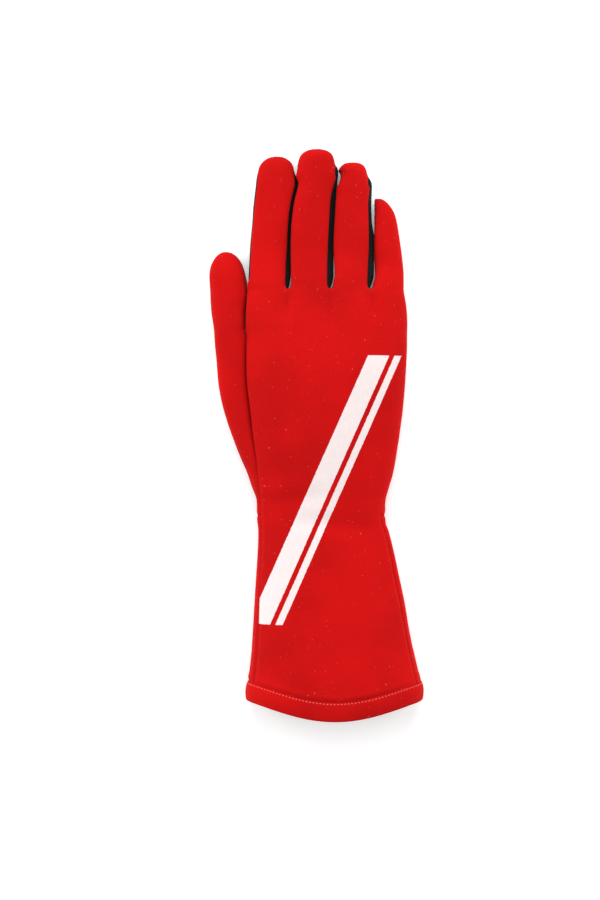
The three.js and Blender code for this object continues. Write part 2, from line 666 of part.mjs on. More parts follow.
const glove = new THREE.Group();
const build = [
  ['back_panel', backThickness, redKnit],
  ['thumb_back', backThickness, redKnit],
  ['gauntlet_palm', backThickness, redKnit],
  ['palm_panel', palmThickness, blackSuede],
  ['thumb_palm', palmThickness, blackSuede],
  ['thumb_gusset', sideThickness, blackSuede],
  ...neighbours.map(([one, other]) => [`fourchette_${one}_${other}`, sideThickness, blackSuede]),
  ['cuff_hem', hemThickness, redKnit, hemProud],
];
for (const [name, thickness, material, proud] of build) {
  const mesh = new THREE.Mesh(makePanel(name, thickness, proud), material);
  mesh.name = name;
  glove.add(mesh);
}

// The origin is on the surface, under the middle of the glove
const box = new THREE.Box3().setFromObject(glove);
const middle = box.getCenter(new THREE.Vector3());
glove.position.set(-middle.x, -middle.y, -box.min.z);

export default glove;
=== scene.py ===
"""A right-hand racing glove with a long flared gauntlet, lying on its palm on a pale floor.

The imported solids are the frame. Each sewn panel is made again here as a fine cloth surface over the
same outline, with rolled seams, soft dents and a knit or suede finish, and stands for its solid.
Lengths are millimetres in the shape functions and become metres when a mesh is made.
"""

import functools
import math

import bpy
import numpy as np
from bpy.props import FloatProperty, FloatVectorProperty, PointerProperty
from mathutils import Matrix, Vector


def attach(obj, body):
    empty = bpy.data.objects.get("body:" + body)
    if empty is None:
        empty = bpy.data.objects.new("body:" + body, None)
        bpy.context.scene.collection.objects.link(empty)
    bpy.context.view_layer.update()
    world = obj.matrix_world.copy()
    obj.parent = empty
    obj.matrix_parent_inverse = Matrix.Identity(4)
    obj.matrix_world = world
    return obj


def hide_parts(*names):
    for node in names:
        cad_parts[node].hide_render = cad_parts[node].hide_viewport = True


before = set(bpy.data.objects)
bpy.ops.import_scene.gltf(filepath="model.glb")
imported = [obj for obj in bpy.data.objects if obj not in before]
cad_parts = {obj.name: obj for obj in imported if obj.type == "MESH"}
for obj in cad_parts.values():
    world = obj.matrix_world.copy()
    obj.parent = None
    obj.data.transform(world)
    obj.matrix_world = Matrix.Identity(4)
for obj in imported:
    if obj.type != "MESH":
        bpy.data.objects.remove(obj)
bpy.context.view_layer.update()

bl_info = {
    "name": "Racing glove",
    "version": (1, 0, 0),
    "blender": (4, 5, 0),
    "location": "View3D > Sidebar > Glove",
    "description": "Knit and suede glove with a flared gauntlet",
    "category": "Object",
}

MM = 0.001
DATUM = np.array([2.746, -52.173, 0.0])   # the wrist's centre line in the frame, in millimetres

# sizes of the glove


class Table:
    """Rows of named columns, read on a smooth curve through the rows."""

    def __init__(self, names, rows):
        self.data = dict(zip(names.split(), np.array(rows, float).T))

    def follow(self, name, at):
        """Cubic Hermite curve through the rows, with central differences for its slopes."""
        x, y = self.data["at"], self.data[name]
        before = np.maximum(np.arange(len(x)) - 1, 0)
        after = np.minimum(np.arange(len(x)) + 1, len(x) - 1)
        slope = (y[after] - y[before]) / (x[after] - x[before])
        t = np.clip(at, x[0], x[-1])
        i = np.clip(np.searchsorted(x, t, side="left") - 1, 0, len(x) - 2)
        span = x[i + 1] - x[i]
        s = (t - x[i]) / span
        rise, start, end = y[i + 1] - y[i], slope[i] * span, slope[i + 1] * span
        return y[i] + s * start + s ** 2 * (3 * rise - 2 * start - end) + s ** 3 * (start + end - 2 * rise)


HAND_LENGTH, CUFF_LENGTH, HEM_LENGTH = 139.5, 113.5, 11.5
CUFF_BACK_DROP, CUFF_PALM_DROP, HANG_ROUND = 9.5, 3.0, 1.7
WRIST_WIDTH, CUFF_WIDTH, CUFF_SHIFT, KNUCKLE_SHIFT = 79.4, 111.0, 8.4, 3.4
FINGER_GAP, THUMB_GAP, SIDE_CLEARANCE, SIDE_SEAM_INSET = 4.1, 1.7, 0.7, 2.4
BACK_HEIGHT, CUFF_HEIGHT, THUMB_HEIGHT = 27.0, 44.0, 17.0
CROTCH_DIP, PALM_LIFT, THUMB_CREASE = 2.6, 3.0, 2.4
BACK_ROUND, PALM_ROUND, FINGER_ROUND, FLAT_SHARE = 2.4, 4.0, 2.2, 1.06
BULGE_LEFT, BULGE_RIGHT, BULGE_MOST, BULGE_HEIGHT = 0.3, 1.3, 2.9, 4.0
BACK_SEAM_SHARE, PALM_SEAM_SHARE, CROWN_SHARE, FINGER_MID = 0.7, 0.2, 0.9, 0.45
WALL_START, WALL_RISE, VALLEY_SHARE = 0.7, 0.9, 0.42
DIP_START, GROOVE_START = 0.78, 0.82
CROTCH_RADIUS, OUTLINE_RADII, ROOT_SHARE, ROOT_SLOPE = 4.0, 4.0, 0.34, 0.7
WEB, SHOULDER, UNDER = 0.8, 0.84, 0.12
HEM_THICKNESS, HEM_PROUD, HEM_TUCK, HEM_PUFF, HEM_PUFF_ROUND = 3.0, 0.6, 0.3, 0.55, 0.8
HEM_TUCK_START, HEM_TUCK_LINE, HEM_INNER_WAVE = 0.5, 0.4, 0.4
HEM_SPLIT = -1.0                                # height between the hem's outer and inner face
HEM_FIRST = [0.0, 0.15, 0.5]                    # first runs of the hem's profile, before its stitches
HEM_OUTSIDE, HEM_END, HEM_INSIDE = 22, 13, 10   # points along the parts of the hem's profile
STITCH_LINE, STITCH_RADIUS, STITCH_SIDES = 0.9, 0.22, 6
STITCH_RINGS = [-1, -0.85, -0.5, 0, 0.5, 0.85, 1.0]   # along a stitch, in halves of its length
STITCH_LIFT, STITCH_BEND = 0.5, 0.9             # of its middle and down at its ends, in radii
HEM_STATION = -(1 - HEM_LENGTH / CUFF_LENGTH)
# how a panel is shaped beside a seam, in mm from it; the swell's place and width are in seam widths
GAP_FADE, MITRE_FADE, DENT_FADE, PUCKER_WIDTH = 2.0, 1.8, 3.0, 3.0
SWELL, SWELL_AT, SWELL_WIDTH, FACING_LEAST = 0.55, 2.4, 1.6, 0.75
RELAX_WIDTH, RELAX_TIMES, PULL_LEAST = 4.0, 14, 0.5
WELD, WELD_SHIFT = 0.01, 0.37   # points in one cell are one; the shift keeps round numbers off its edge
BLOCK = 1500                    # points compared at a time
# about how far each kind of grid runs, in mm, which gives the number of its points
LANE_SPAN, TAIL_SPAN, WRAP_SPAN, CAP_SPAN, STRIP_SPAN = 23, 30, 11, 18, 10
EASE_POWER, EASE_EVEN, TAIL_POWER, WRAP_POWER = 1.6, 0.35, 1.8, 3
# how far a panel's edge rolls out over a strip: node, strip, the amount up to the first y, the amount
# from the second y on, and the two y, in mm
ROLLS = [
    ("back_panel", "fourchette", 0.4, 1.2, 141, 166),
    ("back_panel", "fourchette_middle_ring", 0, 1.0, 195, 210),
    ("back_panel", "fourchette_ring_little", 0, 1.0, 190, 210),
    ("back_panel", "thumb_gusset", 1.2, -0.6, 143, 149),
    ("thumb_back", "thumb_gusset", 1.2, 0.3, 143, 149),
]
ROLL_REACH, ROLL_FADE = 4.0, 4.0
# soft unevenness of each cloth: depth and size in mm, how much of y counts, and the seed
DENTS = {
    "knit": [(0.42, 31, 1, 1), (0.2, 12, 0.6, 2), (0.05, 4.5, 1, 5)],
    "suede": [(0.16, 17, 1, 3), (0.1, 6, 1, 4)],
    "seam": [(0.14, 2.6, 1, 7)],
    "hem": [(0.16, 7, 1, 8), (0.22, 24, 1, 9)],
}

FINGERS = {
    "index": dict(length=83.2, width=23.3, height=15.5, tip=11.2, round=2.1, lean=1.4),
    "middle": dict(length=87.6, width=23.0, height=16.5, tip=10.4, round=2.5, lean=2.6),
    "ring": dict(length=79.7, width=21.2, height=15.5, tip=9.6, round=2.5, lean=2.6),
    "little": dict(length=57.4, width=19.4, height=13.0, tip=13.0, round=2.1, lean=2.0),
    "thumb": dict(length=52.0, width=23.2, height=15.5, tip=16.5, round=2.0, lean=0.6),
}
COURSES = {
    "index": Table("at shift wide", [
        [0, 0, 0.97], [0.3, 0.03, 0.95], [0.5, 0.075, 0.92], [0.65, 0.13, 0.95], [0.8, 0.22, 1.01],
        [1, 0.27, 1]]),
    "middle": Table("at shift wide", [
        [0, 0, 0.95], [0.3, -0.03, 1], [0.5, 0.01, 0.99], [0.68, 0.08, 0.95], [0.85, 0.18, 1],
        [1, 0.22, 1.02]]),
    "ring": Table("at shift wide", [
        [0, 0, 0.97], [0.3, 0, 1.02], [0.5, 0.015, 0.99], [0.7, 0.045, 0.9], [1, 0.09, 0.92]]),
    "little": Table("at shift wide", [
        [0, 0, 1], [0.25, -0.02, 1], [0.5, -0.1, 0.96], [0.75, -0.2, 0.9], [1, -0.36, 0.86]]),
    "thumb": Table("at shift wide", [
        [0, 0, 0.9], [0.26, -0.01, 0.94], [0.54, -0.03, 1], [0.8, -0.06, 1], [1, -0.075, 1]]),
}
HAND = Table("at right seam left top mid own", [
    [0, 0, 0, 0, 0.93, 0.38, 0], [0.07, 0.05, 0.04, 0.01, 0.935, 0.38, 0],
    [0.12, 0.21, 0.12, 0.1, 0.95, 0.37, 0.04], [0.19, 0.44, 0.25, 0.22, 0.96, 0.36, 0.16],
    [0.26, 0.59, 0.39, 0.37, 0.98, 0.36, 0.36], [0.36, 0.77, 0.65, 0.56, 1, 0.35, 0.66],
    [0.47, 0.92, 0.87, 0.735, 1, 0.35, 0.9], [0.58, 1.03, 1.09, 0.84, 1, 0.35, 1],
    [0.68, 1.1, 1.17, 0.88, 0.98, 0.35, 1], [0.8, 1.15, 1.17, 0.935, 0.92, 0.36, 1],
    [0.9, 1.13, 1.13, 0.97, 0.85, 0.37, 1], [1, 1, 1, 1, 0.78, 0.38, 1]])
CUFF = Table("at right left top mid drop inset", [
    [0, 0, 0, 0, 0.38, 0, 1], [0.05, 0.03, -0.04, 0.02, 0.38, 0, 1],
    [0.08, 0.09, -0.08, 0.05, 0.38, 0.02, 1.02],
    [0.16, 0.19, -0.06, 0.13, 0.37, 0.05, 1.05], [0.34, 0.36, 0.12, 0.32, 0.36, 0.18, 1.2],
    [0.51, 0.53, 0.25, 0.51, 0.35, 0.36, 1.35], [0.69, 0.69, 0.38, 0.7, 0.34, 0.6, 1.5],
    [0.82, 0.83, 0.54, 0.84, 0.33, 0.8, 1.5], [0.9, 0.92, 0.72, 0.93, 0.33, 1, 1.5],
    [0.95, 1, 1, 0.98, 0.33, 1, 1.5], [1, 0.93, 0.86, 0.97, 0.33, 1, 1.5]])
FOLD_FADE = 6
# at, across, depth, long, wide, turn of each broad fold; at is negative on the gauntlet
FOLDS = [
    (-0.06, 0.7, 1.3, 0.42, 0.07, -0.12),
    (0.06, 0.2, 1.1, 0.34, 0.08, 0.25),
    (-0.3, 0.86, 1.2, 0.1, 0.34, 0.2),
]

# small maths


def mix(a, b, t):
    """From a at t = 0 to b at t = 1 along a straight line."""
    return a + (b - a) * t


def smooth(t):
    """3t² - 2t³ with t held between 0 and 1."""
    s = np.clip(t, 0, 1)
    return s * s * (3 - 2 * s)


def growth(t):
    """The smooth step plus ROOT_SLOPE times s (1 - s)², a slope of its own at 0, so that a finger
    leaves the hand in one line."""
    s = np.clip(t, 0, 1)
    return smooth(s) + ROOT_SLOPE * s * (1 - s) ** 2


def arc(q, rounding):
    """Superellipse: the rounding-th root of 1 - |q| to the power rounding."""
    return np.maximum(0, 1 - np.abs(q) ** rounding) ** (1 / rounding)


def points(x, y, z):
    """Three arrays, spread to one shape, as an array of points."""
    return np.stack(np.broadcast_arrays(x, y, z), -1).astype(float)


def hump(t, wide):
    """Gaussian: e to the power -(t / wide)²."""
    return np.exp(-(t / wide) ** 2)


def dot(a, b):
    """Sum of the products of two arrays' coordinates, kept as a last axis."""
    return np.sum(a * b, axis=-1, keepdims=True)


def unit(v):
    """Vectors over their own lengths."""
    return v / np.maximum(np.linalg.norm(v, axis=-1, keepdims=True), 1e-12)


def eased(start, end, step, ends=(1, 1)):
    """Numbers from start to end, about step apart and closer at the ends named by ends: a power of an
    even ramp for one end, a mix of the ramp and its smooth step for both."""
    count = max(2, int(math.ceil(abs(end - start) / step)))
    s = np.linspace(0, 1, count + 1)
    low, high = s ** EASE_POWER, 1 - (1 - s) ** EASE_POWER
    both = EASE_EVEN * s + (1 - EASE_EVEN) * smooth(s)
    shaped = {(1, 1): both, (1, 0): low, (0, 1): high, (0, 0): s}[ends]
    return mix(start, end, shaped)


def noise(p, size, seed=0):
    """Value noise from -1 to 1: hashed values at the corners of cubes of that size, smoothly mixed."""
    q = np.asarray(p) / size + 100.0 + seed * 17.31
    cell = np.floor(q).astype(np.int64)
    f = smooth(q - cell)
    total = 0
    for corner in np.ndindex(2, 2, 2):
        c = cell + np.array(corner)
        h = (c[..., 0] * 73856093) ^ (c[..., 1] * 19349663) ^ (c[..., 2] * 83492791) ^ (seed * 2654435)
        h = (h ^ (h >> 13)) * 1274126177 & 0xFFFFFF
        weight = np.prod(np.where(np.array(corner) == 1, f, 1 - f), axis=-1)
        total = total + weight * (h / 0xFFFFFF * 2 - 1)
    return total

# the outer skin


class Section:
    """Cross-sections of the hand (stations 0 to 1) or of the gauntlet (stations 0 to -1)."""

    def __init__(self, station):
        self.station = station = np.asarray(station, float)
        left, right = -WRIST_WIDTH / 2, WRIST_WIDTH / 2
        if station.min() >= 0:
            read = lambda name: HAND.follow(name, station)
            self.left = mix(left, KNUCKLE_LEFT - FINGERS["thumb"]["width"], read("left"))
            self.seam = mix(left + SIDE_SEAM_INSET, KNUCKLE_LEFT, read("seam"))
            self.right = mix(right, KNUCKLE_RIGHT, read("right"))
            self.y = station * HAND_LENGTH
            self.top = BACK_HEIGHT * read("top")
            self.mid = self.top * read("mid")
            self.own = read("own")
            self.valley = mix(self.mid, self.top, VALLEY_SHARE) - THUMB_CREASE * smooth(self.own)
            self.thumb_top = np.maximum(THUMB_HEIGHT, self.valley)
            self.back_drop = self.palm_drop = 0
        else:
            read = lambda name: CUFF.follow(name, -station)
            self.left = mix(left, CUFF_SHIFT - CUFF_WIDTH / 2, read("left"))
            self.seam = self.left + SIDE_SEAM_INSET * read("inset")
            self.right = mix(right, CUFF_SHIFT + CUFF_WIDTH / 2, read("right"))
            self.y = station * CUFF_LENGTH
            self.top = mix(BACK_HEIGHT * HAND.data["top"][0], CUFF_HEIGHT, read("top"))
            self.mid = self.valley = self.thumb_top = self.top * read("mid")
            self.own = 0
            self.back_drop = CUFF_BACK_DROP * read("drop")
            self.palm_drop = CUFF_PALM_DROP * read("drop")

    def across(self, x):
        """From -1 at the left outline to 1 at the right one."""
        return (2 * x - self.left - self.right) / (self.right - self.left)

    def hang(self, x, drop):
        """y of the section, lower in its middle: drop times (1 - across²) to the power HANG_ROUND."""
        return self.y - drop * np.maximum(0, 1 - self.across(x) ** 2) ** HANG_ROUND

    def fold_depth(self, x):
        """Broad folds: a Gaussian trough each, along and aside of its own line, faded at the outline."""
        depth = 0
        for at, share, deep, long, wide, turn in FOLDS:
            dx = x - mix(self.seam, self.right, share)
            dy = self.y - at * (CUFF_LENGTH if at < 0 else HAND_LENGTH)
            along = (dx * math.cos(turn) + dy * math.sin(turn)) / (long * WRIST_WIDTH)
            aside = (dy * math.cos(turn) - dx * math.sin(turn)) / (wide * WRIST_WIDTH)
            depth = depth + deep * np.exp(-along ** 2 - aside ** 2)
        return depth * np.maximum(0, 1 - self.across(x) ** FOLD_FADE)

    def back_height(self, x):
        """One superelliptic dome, or the hand's and the thumb's domes side by side, mixed by own."""
        one = mix(self.mid, self.top, arc(self.across(x), BACK_ROUND))
        on_hand = x >= self.seam
        low, high = np.where(on_hand, self.seam, self.left), np.where(on_hand, self.right, self.seam)
        q = (2 * x - low - high) / (high - low)
        crown = np.where(on_hand, self.top, self.thumb_top)
        base = np.where(on_hand == (q < 0), self.valley, self.mid)
        two = mix(base, crown, arc(q, BACK_ROUND))
        return mix(one, two, self.own) - self.fold_depth(x)

    def palm_height(self, x):
        """Flat on the surface in the middle and rounded up to mid at the outlines."""
        return self.mid * (1 - np.minimum(1, FLAT_SHARE * arc(self.across(x), PALM_ROUND)))


def crotch_share(section, lane, u, start):
    """Cubic in the distance from the lane's middle, growing towards the finger crotches."""
    outline = ((lane[0] == 0) & (u < 0.5)) | ((lane[1] == 1) & (u > 0.5))
    share = np.abs(2 * u - 1) ** 3 * smooth((section.station - start) / (1 - start))
    return np.where(outline, 0, share)


def rows(side, station, name, u):
    """The section's back or palm over one finger's lane, u across it, or over the thumb's side. The
    back dips a little towards the crotches and the palm lifts."""
    s, lane = Section(station), LANES[name]
    low, high = (s.left, s.seam) if name == "thumb" else (s.seam, s.right)
    x = mix(low, high, mix(lane[0], lane[1], u))
    if side == "back":
        z = s.back_height(x) - CROTCH_DIP * crotch_share(s, lane, u, DIP_START)
        return points(x, s.hang(x, s.back_drop), z)
    z = s.palm_height(x) + PALM_LIFT * crotch_share(s, lane, u, GROOVE_START)
    return points(x, s.hang(x, s.palm_drop), z)


FINGER_NAMES = ["index", "middle", "ring", "little"]
ROOT_WIDTHS = [FINGERS[n]["width"] * COURSES[n].data["wide"][0] for n in FINGER_NAMES]
KNUCKLE_WIDTH = sum(ROOT_WIDTHS) + FINGER_GAP * (len(FINGER_NAMES) - 1)
KNUCKLE_LEFT, KNUCKLE_RIGHT = KNUCKLE_SHIFT - KNUCKLE_WIDTH / 2, KNUCKLE_SHIFT + KNUCKLE_WIDTH / 2
LANE_ENDS = np.cumsum([w + FINGER_GAP * (0.5 if n in ("index", "little") else 1)
                       for n, w in zip(FINGER_NAMES, ROOT_WIDTHS)]) / KNUCKLE_WIDTH
LANE_CUTS = [0.0, *(float(end) for end in LANE_ENDS[:-1]), 1.0]
LANES = dict(zip(FINGER_NAMES, zip(LANE_CUTS[:-1], LANE_CUTS[1:])), thumb=(0.0, 1.0))


class Finger:
    """One finger or the thumb: a tube with a round end, grown out of the section at its root."""

    def __init__(self, name, ends, section, left, right, centre, limits):
        self.__dict__.update(FINGERS[name], course=COURSES[name], name=name, ends=ends, section=section,
                             root=(left, right), centre=centre, limits=limits)

    def root_height(self, side, u):
        """Height of the section that the finger grows from."""
        return rows(side, self.section.station, self.name, u)[..., 2]

    def tip_share(self, d):
        """Share of the full width near the tip: a superellipse over the tip's length."""
        return np.where(d < self.tip, arc(1 - np.minimum(d, self.tip) / self.tip, self.round), 1)

    def edges(self, d):
        """y and the two side edges at a distance d from the tip. The edges run half a width from the
        centre line. At the root they open from the root's own edges, by a quarter circle beside a
        strip and by a longer smooth step on an outline."""
        v = 1 - d / self.length
        half = self.tip_share(d) * self.width * self.course.follow("wide", v) / 2
        centre = self.centre + self.width * self.course.follow("shift", v)
        left_up = (self.length - d) / CROTCH_RADIUS
        opened = dict(seam=arc(1 - np.minimum(1, left_up), 2), outline=smooth(left_up / OUTLINE_RADII))
        y = self.section.y + self.length - d
        left = np.maximum(centre - half, self.limits[0](y))
        right = np.minimum(centre + half, self.limits[1](y))
        left = mix(self.root[0], left, opened[self.ends[0]])
        right = mix(self.root[1], right, opened[self.ends[1]])
        return y, left, right

    def shape(self, d):
        """The cross-section at d from the tip: its edges, crown, floor, seams and their lean. Near
        the root each height is mixed with the hand's own by growth."""
        y, left, right = self.edges(d)
        v = 1 - d / self.length
        crown = self.height * mix(1, CROWN_SHARE, v)
        grown = growth(v / ROOT_SHARE)
        mid = mix(self.section.mid, crown * FINGER_MID, grown)
        wall = smooth((d / self.tip - WALL_START) / WALL_RISE)
        cap = self.tip_share(d)
        return dict(y=y, left=left, right=right, crown=mix(mid, crown, cap), mid=mid, wall=wall, grown=grown,
                    back_seam=mix(mid, crown * BACK_SEAM_SHARE, wall),
                    palm_seam=mix(mid, crown * PALM_SEAM_SHARE, wall), floor=mid * (1 - cap),
                    lean=self.lean * wall * np.minimum(1, (self.length - d) / (2 * CROTCH_RADIUS)))

    def sides(self, u, seam, outline):
        """seam where that side of the finger has a strip beside it, outline where it has none."""
        left, right = (seam if end == "seam" else outline for end in self.ends)
        return np.where(u < 0.5, left, right)

    def back(self, d, u):
        """Back of the finger: a superellipse of u from its seams up to its crown."""
        f = self.shape(d)
        base = self.sides(u, f["back_seam"], f["mid"])
        own = mix(base, f["crown"], arc(2 * u - 1, FINGER_ROUND))
        z = mix(self.root_height("back", u), own, f["grown"])
        return points(mix(f["left"], f["right"], u), f["y"], z)

    def palm(self, d, u):
        """Under side of the finger: a flatter superellipse of u from its seams down to its floor."""
        f = self.shape(d)
        q = 2 * u - 1
        base = np.maximum(f["floor"], self.sides(u, f["palm_seam"], f["mid"]))
        own = mix(base, f["floor"], np.minimum(1, FLAT_SHARE * arc(q, PALM_ROUND)))
        x = mix(f["left"], f["right"], u) + f["lean"] * self.sides(u, 1.0, 1 - np.abs(q))
        return points(x, f["y"], mix(self.root_height("palm", u), own, f["grown"]))


def free(sign):
    """A limit that is never reached."""
    return lambda y: np.full(np.shape(y), sign * np.inf)


def beside(before):
    """Left limit of a finger: clear of the leaning strip on the finger before it."""
    def limit(y):
        """The edge before, plus its strip's lean and bulge and the clearance."""
        d = CROTCH.y + before.length - y
        f = before.shape(np.maximum(d, 0))
        edge = f["right"] + (f["lean"] + BULGE_RIGHT + BULGE_LEFT + SIDE_CLEARANCE) * f["wall"]
        return np.where(d < 0, -np.inf, edge)
    return limit


def beside_hand(y):
    """Right limit of the thumb: the hand's seam, and past the crotches the index finger's edge."""
    index = MADE["index"]
    low = Section(np.clip(y / HAND_LENGTH, 0, 1)).seam
    high = index.edges(np.clip(CROTCH.y + index.length - y, 0, index.length))[1]
    return np.where(y <= CROTCH.y, low, high) - THUMB_GAP


CROTCH, WEB_SECTION = Section(1.0), Section(WEB)
MADE = {}
for _n, _name in enumerate(FINGER_NAMES):
    _left, _right = (float(mix(CROTCH.seam, CROTCH.right, end)) for end in LANES[_name])
    MADE[_name] = Finger(
        _name, ("seam", "outline" if _name == "little" else "seam"), CROTCH, _left, _right,
        _left + (FINGER_GAP / 2 if _n else 0) + ROOT_WIDTHS[_n] / 2,
        (beside(MADE[FINGER_NAMES[_n - 1]]) if _n else free(-1), free(1)))
MADE["thumb"] = Finger(
    "thumb", ("outline", "seam"), WEB_SECTION, WEB_SECTION.left, WEB_SECTION.seam,
    (WEB_SECTION.left + WEB_SECTION.seam - THUMB_GAP) / 2, (free(-1), beside_hand))

# panels, as grids on the skin


class Columns:
    """Where the grids have their columns, the same for every grid that meets another. The little
    finger's back and its wrap close up towards the outline, by powers of an even ramp."""

    def __init__(self, step):
        self.lane = eased(0, 1, step / LANE_SPAN)
        tail = 1 - np.linspace(1, 0, math.ceil(TAIL_SPAN / step)) ** TAIL_POWER
        tail[np.argmin(np.abs(tail - SHOULDER))] = SHOULDER
        self.tail = tail
        self.wrap = 1 - UNDER * np.linspace(0, 1, math.ceil(WRAP_SPAN / step)) ** WRAP_POWER
        self.short = self.lane * (1 - UNDER)
        self.thumb = 1 - tail[::-1]
        self.thumb_wrap = (1 - self.wrap)[::-1]
        self.thumb_palm = mix(UNDER, 1, self.lane)

    def of(self, side, name):
        """Columns of a finger's back or under side."""
        if name != "little":
            return self.lane
        return self.tail if side == "back" else self.short

    def lanes(self, side, station):
        """The four fingers' lanes of the hand or gauntlet, on one side."""
        return [rows(side, station, name, self.of(side, name)) for name in FINGER_NAMES]

    def thumb_side(self, station):
        """The thumb's side of the hand or gauntlet: its wrap under the outline, and its back."""
        return [rows("palm", station, "thumb", self.thumb_wrap), rows("back", station, "thumb", self.thumb)]


def joined(grids):
    """Grids side by side as one, without their shared columns."""
    return np.concatenate([g[:, :-1] for g in grids[:-1]] + [grids[-1]], axis=1)


def cloth(grid, column=None, start=0.0, strip=False):
    """Flat cloth coordinates in mm: the length run across the grid from one column, and the length
    run down it, which is y itself except on a strip."""
    column = grid.shape[1] // 2 if column is None else column
    run = np.linalg.norm(np.diff(grid[..., [0, 2]], axis=1), axis=-1)
    run = np.concatenate([np.zeros((len(grid), 1)), np.cumsum(run, axis=1)], axis=1)
    down = grid[..., 1]
    if strip:
        middle = np.linalg.norm(np.diff(grid[:, column], axis=0), axis=-1)
        down = np.broadcast_to(np.concatenate([[0], np.cumsum(middle)])[:, None], run.shape)
    return np.stack([run - run[:, column:column + 1] + start, down], -1)


def finger_rows(finger, step):
    """Distances from the tip: 1 - cos of an even turn over the cap, then even rows that come closer
    together at the crotch."""
    turn = np.linspace(0, np.pi / 2, math.ceil(CAP_SPAN / step))
    cap = finger.tip * WALL_START * (1 - np.cos(turn))
    return np.concatenate([cap, eased(cap[-1], finger.length, step, (0, 1))[1:]])[:, None]


def ring(station, cols):
    """Closed rings round the gauntlet, one per station, through the panels' own columns."""
    parts = cols.thumb_side(station) + cols.lanes("back", station)
    parts.append(rows("palm", station, "little", cols.wrap))
    parts += [rows("palm", station, name, cols.of("palm", name)[::-1]) for name in FINGER_NAMES[::-1]]
    parts.append(rows("palm", station, "thumb", cols.thumb_palm[::-1]))
    return np.concatenate([part[:, :-1] for part in parts], axis=1)


